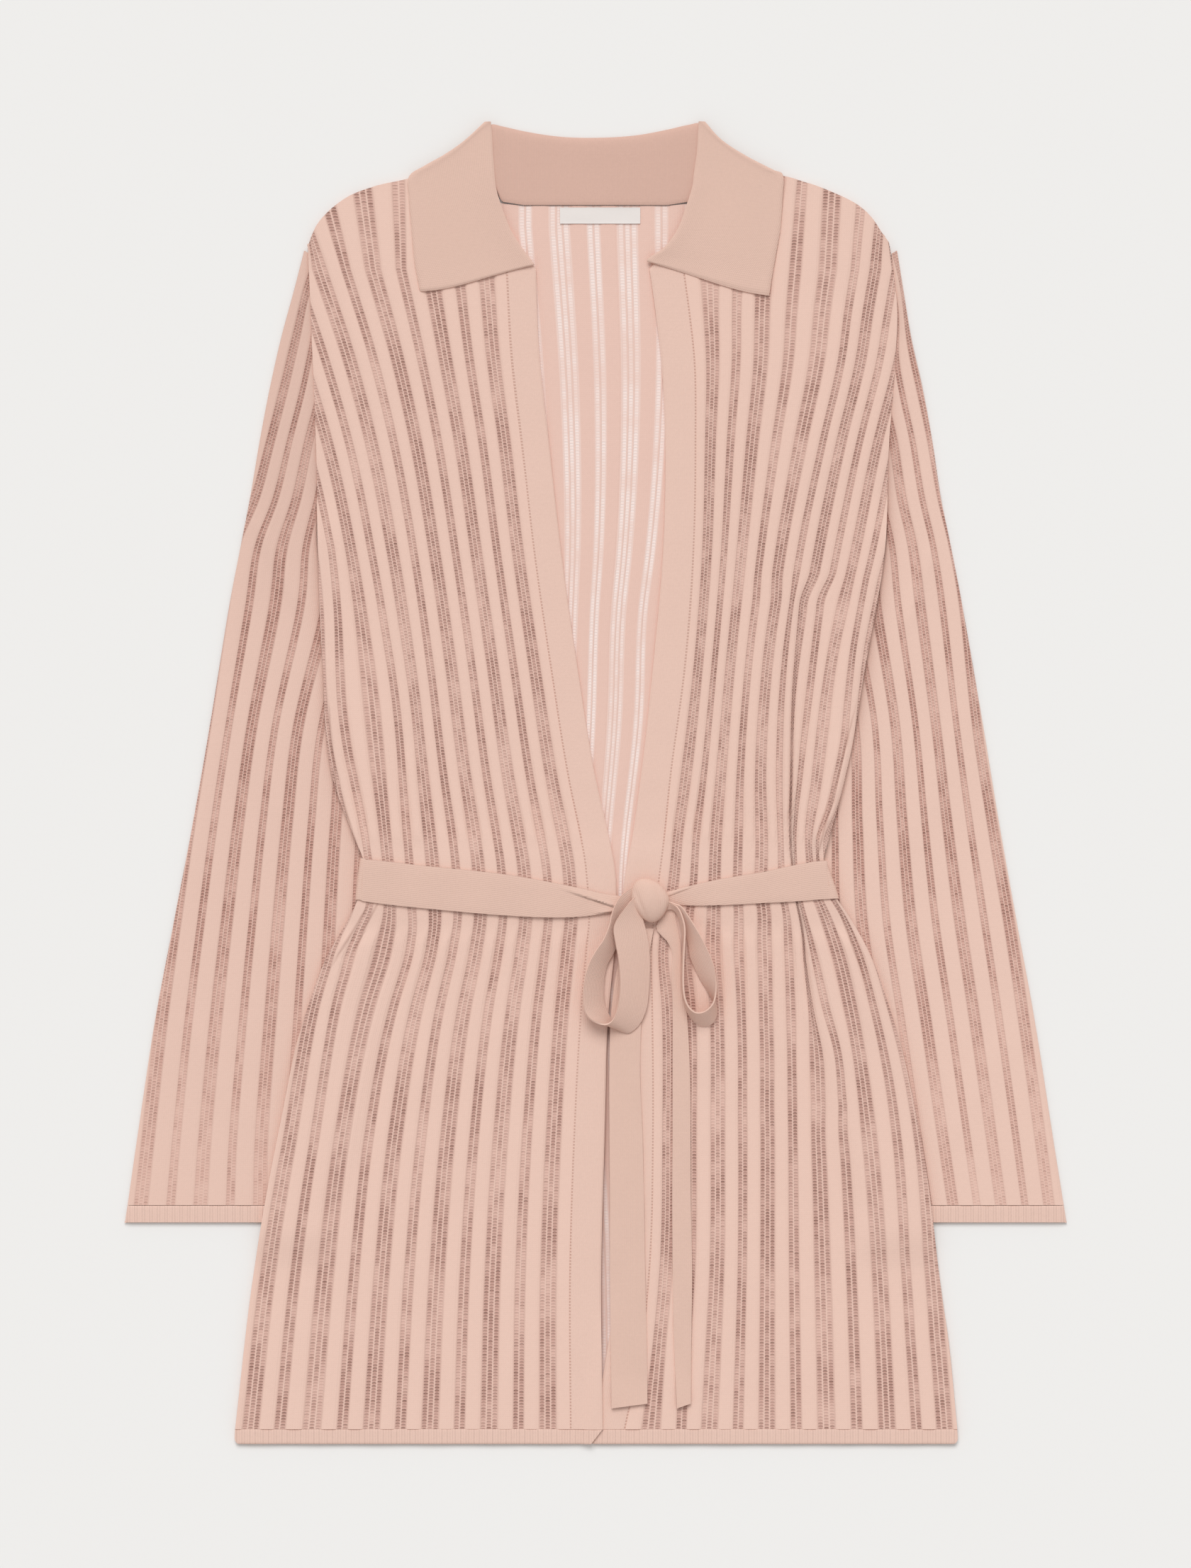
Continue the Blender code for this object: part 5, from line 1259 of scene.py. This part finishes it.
def belt_run(side_name, look):
    """The stretch of belt from the body's side, where it turns down, to the knot."""
    side = SIDES[side_name]
    run = side["belt_run"]
    left = side_name == "left"
    end = -1 if left else 0
    out = 1.0 if left else -1.0
    high, low = run["high"][end], run["low"][end]
    sides = [float(along(side["front"], "side", y)) + out * (LAYER_GAP + 0.6)
             for y in (high, low)]
    top = float(cover_height(sides[0], BELT_Y)) + BELT_WALL / 2
    start = float(lift(sides[0], BELT_Y)) + TOUCH_GAP
    # up beside the body, round its side and onto the front
    sections = []
    for inset, z in ((0.0, start), (0.0, start + 1.4), (0.1, top - 1.2), (1.0, top - 0.2),
                     (2.6, top + 0.1)):
        sections.append(((sides[0] - out * inset, high, z), (sides[1] - out * inset, low, z)))
    xs = run["x"][::-1] if left else run["x"]
    for x in np.linspace(xs[0] - out * 7.0, xs[-1], 18):
        z = float(cover_height(x, BELT_Y)) + BELT_WALL / 2 + 0.15
        sections.append(((x, float(along(run, "high", x)), z),
                         (x, float(along(run, "low", x)), z)))
    ribbon("belt_front_" + side_name, sections, look, BELT_WIDTH,
           folds=side["belt_folds"], crown=0.35, wave=0.18)


def belt_behind(look):
    """The stretch of belt between the back and the surface."""
    sections = []
    for share in np.linspace(0.0, 1.0, 60):
        pair = []
        for y in (BELT_Y + BELT_WIDTH / 2, BELT_Y - BELT_WIDTH / 2):
            right = float(along(FRONT_RIGHT, "side", y)) - 1.0
            left = float(along(FRONT_LEFT, "side", y)) + 1.0
            x = right + (left - right) * share
            pair.append((x, y, float(lift(x, y)) - BELT_LIFT + 0.5))
        sections.append(pair)
    ribbon("belt_back", sections, look, BELT_WIDTH, rows=120)


def belt_tail(side_name, look):
    """A free end of the belt, from under the knot down the front."""
    tail = SIDES[side_name]["tail"]
    start, stop = tail["y"][0], tail["y"][-1]
    sections = []
    for y in np.linspace(start, stop, 40):
        slant = TAIL_SLANT if y == start else 0.0
        low = float(along(tail, "low", y))
        high = float(along(tail, "high", y))
        z = float(cover_height((low + high) / 2, y)) + 0.65
        z += 1.2 * float(np.exp(-((y - start) / 9.0) ** 2))
        sections.append(((low, y - slant, z), (high, y, z)))
    width = float((tail["high"] - tail["low"]).mean())
    ribbon("belt_tail_" + side_name, sections, look, width, crown=0.4,
           wave=0.12)


def make_knot(look):
    """The knot: a ball flattened, narrowed and ridged where the belt is wrapped round it."""
    bpy.ops.object.select_all(action="DESELECT")
    bpy.ops.mesh.primitive_uv_sphere_add(segments=72, ring_count=48, radius=1.0)
    knot = bpy.context.object
    knot.name = "cloth_knot"
    mesh = knot.data
    flat = np.empty(len(mesh.vertices) * 3, dtype=np.float32)
    mesh.vertices.foreach_get("co", flat)
    ball = flat.reshape(-1, 3).astype(float)
    x, y = ball[:, 0], ball[:, 1]
    below = np.clip(-y, 0.0, 1.0)
    shaped = ball.copy()
    shaped[:, 0] *= 1.0 + 0.10 * (1.0 - np.abs(ball[:, 2])) - 0.26 * below
    shaped[:, 0] -= 0.34 * np.clip(y, 0.0, 1.0) ** 1.5 - 0.1 * below
    shaped[:, 1] *= 1.0 + 0.06 * (1.0 - np.abs(ball[:, 2]))
    ridge = 0.10 * np.exp(-((x + 0.2 - 0.4 * y) / 0.4) ** 2)
    ridge -= 0.10 * np.exp(-((x - 0.62 + 0.25 * y) / 0.12) ** 2)
    ridge -= 0.12 * np.exp(-((x + 0.66 + 0.3 * y) / 0.12) ** 2)
    shaped[:, 2] += ridge * np.clip(ball[:, 2], 0.0, 1.0)
    place(mesh, np.array(KNOT_CENTRE) + shaped * np.array(KNOT_RADII))
    mesh.update()
    mesh.materials.append(plain_material("knot", look, colour4(look.plain)))
    set_uv(mesh, ball[:, :2] * np.array(KNOT_RADII[:2]))
    bpy.ops.object.shade_smooth()
    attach(knot, "root")
    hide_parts("belt_knot")


class CardiganSizes(bpy.types.PropertyGroup):
    rib_height: FloatProperty(name="Rib height", description="Rise of a plain rib",
                              default=0.0005, unit="LENGTH")
    hole_pitch: FloatProperty(name="Hole pitch", description="From hole to hole along",
                              default=0.0019, unit="LENGTH")
    hole_depth: FloatProperty(name="Hole shade", description="How strongly a hole shows",
                              default=0.72, min=0.0, max=1.0)
    stitch_width: FloatProperty(name="Stitch width", description="Width of a plain stitch",
                                default=0.0012, unit="LENGTH")
    knit: FloatVectorProperty(name="Ribs", description="Colour of the plain ribs",
                              default=(0.86, 0.6, 0.505), subtype="COLOR")
    stripe: FloatVectorProperty(name="Stripes", description="Colour between the holes",
                                default=(0.72, 0.445, 0.375), subtype="COLOR")
    sleeve_stripe: FloatVectorProperty(name="Sleeve stripes",
                                       description="Colour between the sleeves' holes",
                                       default=(0.72, 0.4, 0.33), subtype="COLOR")
    # the cloth seen through the holes, its colour in painted shade
    hole: FloatVectorProperty(name="Holes", description="Colour seen through the holes",
                              default=(0.34, 0.17, 0.13), subtype="COLOR")
    back_knit: FloatVectorProperty(name="Back ribs", description="Colour of the back's inside",
                                   default=(0.84, 0.575, 0.49), subtype="COLOR")
    back_stripe: FloatVectorProperty(name="Back stripes",
                                     description="Colour between the back's holes",
                                     default=(0.9, 0.715, 0.655), subtype="COLOR")
    back_hole: FloatVectorProperty(name="Back holes", description="Surface under the back",
                                   default=(0.93, 0.81, 0.77), subtype="COLOR")
    band: FloatVectorProperty(name="Bands", description="Colour of bands and hems",
                              default=(0.86, 0.6, 0.505), subtype="COLOR")
    plain: FloatVectorProperty(name="Collar and belt", description="Colour of plain knit",
                               default=(0.8, 0.55, 0.455), subtype="COLOR")
    # the plain knit colour in painted shade, for the collar behind the neck
    shaded_collar_back: FloatVectorProperty(name="Collar back",
                                     description="Colour of the collar behind the neck",
                                     default=(0.725, 0.472, 0.388), subtype="COLOR")
    label: FloatVectorProperty(name="Label", description="Colour of the neck label",
                               default=(0.885, 0.825, 0.79), subtype="COLOR")
    floor: FloatVectorProperty(name="Surface", description="Colour of the surface",
                               default=(0.875, 0.868, 0.855), subtype="COLOR")


class CARDIGAN_OT_back(bpy.types.Operator):
    """Makes the back panel and its hem band"""
    bl_idname = "cardigan.back"
    bl_label = "Back"
    bl_options = {"REGISTER", "UNDO"}

    def execute(self, context):
        look = context.scene.cardigan
        make_back(look)
        right = float(along(FRONT_RIGHT, "side", HEM_SEAM_Y))
        left = float(along(FRONT_LEFT, "side", HEM_SEAM_Y))
        make_hem("hem_band_back", (right, right - HEM_FLARE), (left, left + HEM_FLARE),
                 lambda x: np.zeros_like(x) - 0.2, look)
        return {"FINISHED"}


class CARDIGAN_OT_fronts(bpy.types.Operator):
    """Makes both fronts with their bands and hem bands"""
    bl_idname = "cardigan.fronts"
    bl_label = "Fronts"
    bl_options = {"REGISTER", "UNDO"}

    def execute(self, context):
        look = context.scene.cardigan
        for side_name in SIDES:
            make_front(side_name, look)
            make_band(side_name, look)
        right = float(along(FRONT_RIGHT, "side", HEM_SEAM_Y))
        left = float(along(FRONT_LEFT, "side", HEM_SEAM_Y))
        low = np.full((1,), HEM_SEAM_Y)
        make_hem("hem_band_right", (right, right - HEM_FLARE), (4.4, -3.0),
                 lambda x: FRONT_Z + overlap(x, low), look)
        make_hem("hem_band_left", (-0.9, -1.4), (left, left + HEM_FLARE),
                 lambda x: np.full_like(x, FRONT_Z), look)
        return {"FINISHED"}


class CARDIGAN_OT_sleeves(bpy.types.Operator):
    """Makes both sleeves and their cuffs"""
    bl_idname = "cardigan.sleeves"
    bl_label = "Sleeves"
    bl_options = {"REGISTER", "UNDO"}

    def execute(self, context):
        look = context.scene.cardigan
        for side_name in SIDES:
            make_sleeve(side_name, look)
            make_cuff(side_name, look)
        return {"FINISHED"}


class CARDIGAN_OT_collar(bpy.types.Operator):
    """Makes the collar's back fold, its two leaves and the neck label"""
    bl_idname = "cardigan.collar"
    bl_label = "Collar"
    bl_options = {"REGISTER", "UNDO"}

    def execute(self, context):
        look = context.scene.cardigan
        make_collar_back(look)
        for side_name in SIDES:
            make_leaf(side_name, look)
        make_label(look)
        return {"FINISHED"}


class CARDIGAN_OT_belt(bpy.types.Operator):
    """Makes the belt's runs and tails"""
    bl_idname = "cardigan.belt"
    bl_label = "Belt"
    bl_options = {"REGISTER", "UNDO"}

    def execute(self, context):
        look = context.scene.cardigan
        for side_name in SIDES:
            belt_run(side_name, look)
        belt_behind(look)
        for side_name in SIDES:
            belt_tail(side_name, look)
        return {"FINISHED"}


class CARDIGAN_OT_bow(bpy.types.Operator):
    """Makes the two loops of the bow and its knot"""
    bl_idname = "cardigan.bow"
    bl_label = "Bow"
    bl_options = {"REGISTER", "UNDO"}

    def execute(self, context):
        look = context.scene.cardigan
        for side_name, side in SIDES.items():
            ribbon("bow_loop_" + side_name, side["loop"], look,
                   side["loop_width"])
        make_knot(look)
        return {"FINISHED"}


class CARDIGAN_OT_stage(bpy.types.Operator):
    """Makes the surface, the soft light and the camera overhead"""
    bl_idname = "cardigan.stage"
    bl_label = "Stage"
    bl_options = {"REGISTER", "UNDO"}

    def execute(self, context):
        look = context.scene.cardigan
        bpy.ops.object.select_all(action="DESELECT")
        bpy.ops.mesh.primitive_plane_add(size=FLOOR_SIZE, location=(0.0, 0.0, -FLOOR_DROP))
        floor = bpy.context.object
        floor.name = "floor"
        bpy.ops.object.transform_apply(location=True, rotation=True, scale=True)
        paper = Knit("pale_surface", 0.9, 0.0)
        grain = paper.noise(300.0, 2.0)
        tint = paper.mix(paper.math("MULTIPLY", grain, 0.02), colour4(look.floor),
                         (0.7, 0.7, 0.69, 1.0))
        floor.data.materials.append(paper.finish(tint, grain, 0.02))
        world = bpy.data.worlds.new("studio")
        context.scene.world = world
        world.use_nodes = True
        background = world.node_tree.nodes["Background"]
        background.inputs["Color"].default_value = (1.0, 0.99, 0.98, 1.0)
        background.inputs["Strength"].default_value = WORLD_STRENGTH
        bpy.ops.object.light_add(type="SUN", location=(0.0, 1.0, 2.0))
        key = bpy.context.object
        key.name = "soft_key"
        key.data.energy = KEY_ENERGY
        key.data.angle = KEY_ANGLE
        key.rotation_euler = KEY_TILT
        camera_data = bpy.data.cameras.new("overhead")
        camera_data.sensor_fit = "VERTICAL"
        camera_data.sensor_height = SENSOR_HEIGHT
        camera_data.lens = SENSOR_HEIGHT * CAMERA_HEIGHT / PICTURE_HEIGHT
        camera = bpy.data.objects.new("overhead", camera_data)
        shift = layout_origin() * MM
        camera.location = Vector((shift[0], shift[1], CAMERA_HEIGHT))
        context.scene.collection.objects.link(camera)
        context.scene.camera = camera
        context.scene.view_settings.view_transform = "Standard"
        return {"FINISHED"}


class CARDIGAN_PT_panel(bpy.types.Panel):
    """Buttons and settings in the 3D view's sidebar"""
    bl_label = "Cardigan"
    bl_space_type = "VIEW_3D"
    bl_region_type = "UI"
    bl_category = "Cardigan"

    def draw(self, context):
        look = context.scene.cardigan
        for name in look.bl_rna.properties.keys():
            if name not in ("rna_type", "name"):
                self.layout.prop(look, name)
        for operator in OPERATORS:
            self.layout.operator(operator.bl_idname)


OPERATORS = (CARDIGAN_OT_stage, CARDIGAN_OT_back, CARDIGAN_OT_sleeves, CARDIGAN_OT_fronts,
             CARDIGAN_OT_collar, CARDIGAN_OT_belt, CARDIGAN_OT_bow)
CLASSES = (CardiganSizes, CARDIGAN_PT_panel) + OPERATORS


def register():
    """Registers the classes and the settings."""
    for cls in CLASSES:
        bpy.utils.register_class(cls)
    bpy.types.Scene.cardigan = PointerProperty(type=CardiganSizes)


def unregister():
    """Takes the settings and the classes away again."""
    del bpy.types.Scene.cardigan
    for cls in reversed(CLASSES):
        bpy.utils.unregister_class(cls)


def main():
    """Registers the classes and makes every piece."""
    register()
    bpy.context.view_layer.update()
    bpy.ops.cardigan.stage()
    bpy.ops.cardigan.back()
    bpy.ops.cardigan.sleeves()
    bpy.ops.cardigan.fronts()
    bpy.ops.cardigan.collar()
    bpy.ops.cardigan.belt()
    bpy.ops.cardigan.bow()


if __name__ == "__main__":
    main()
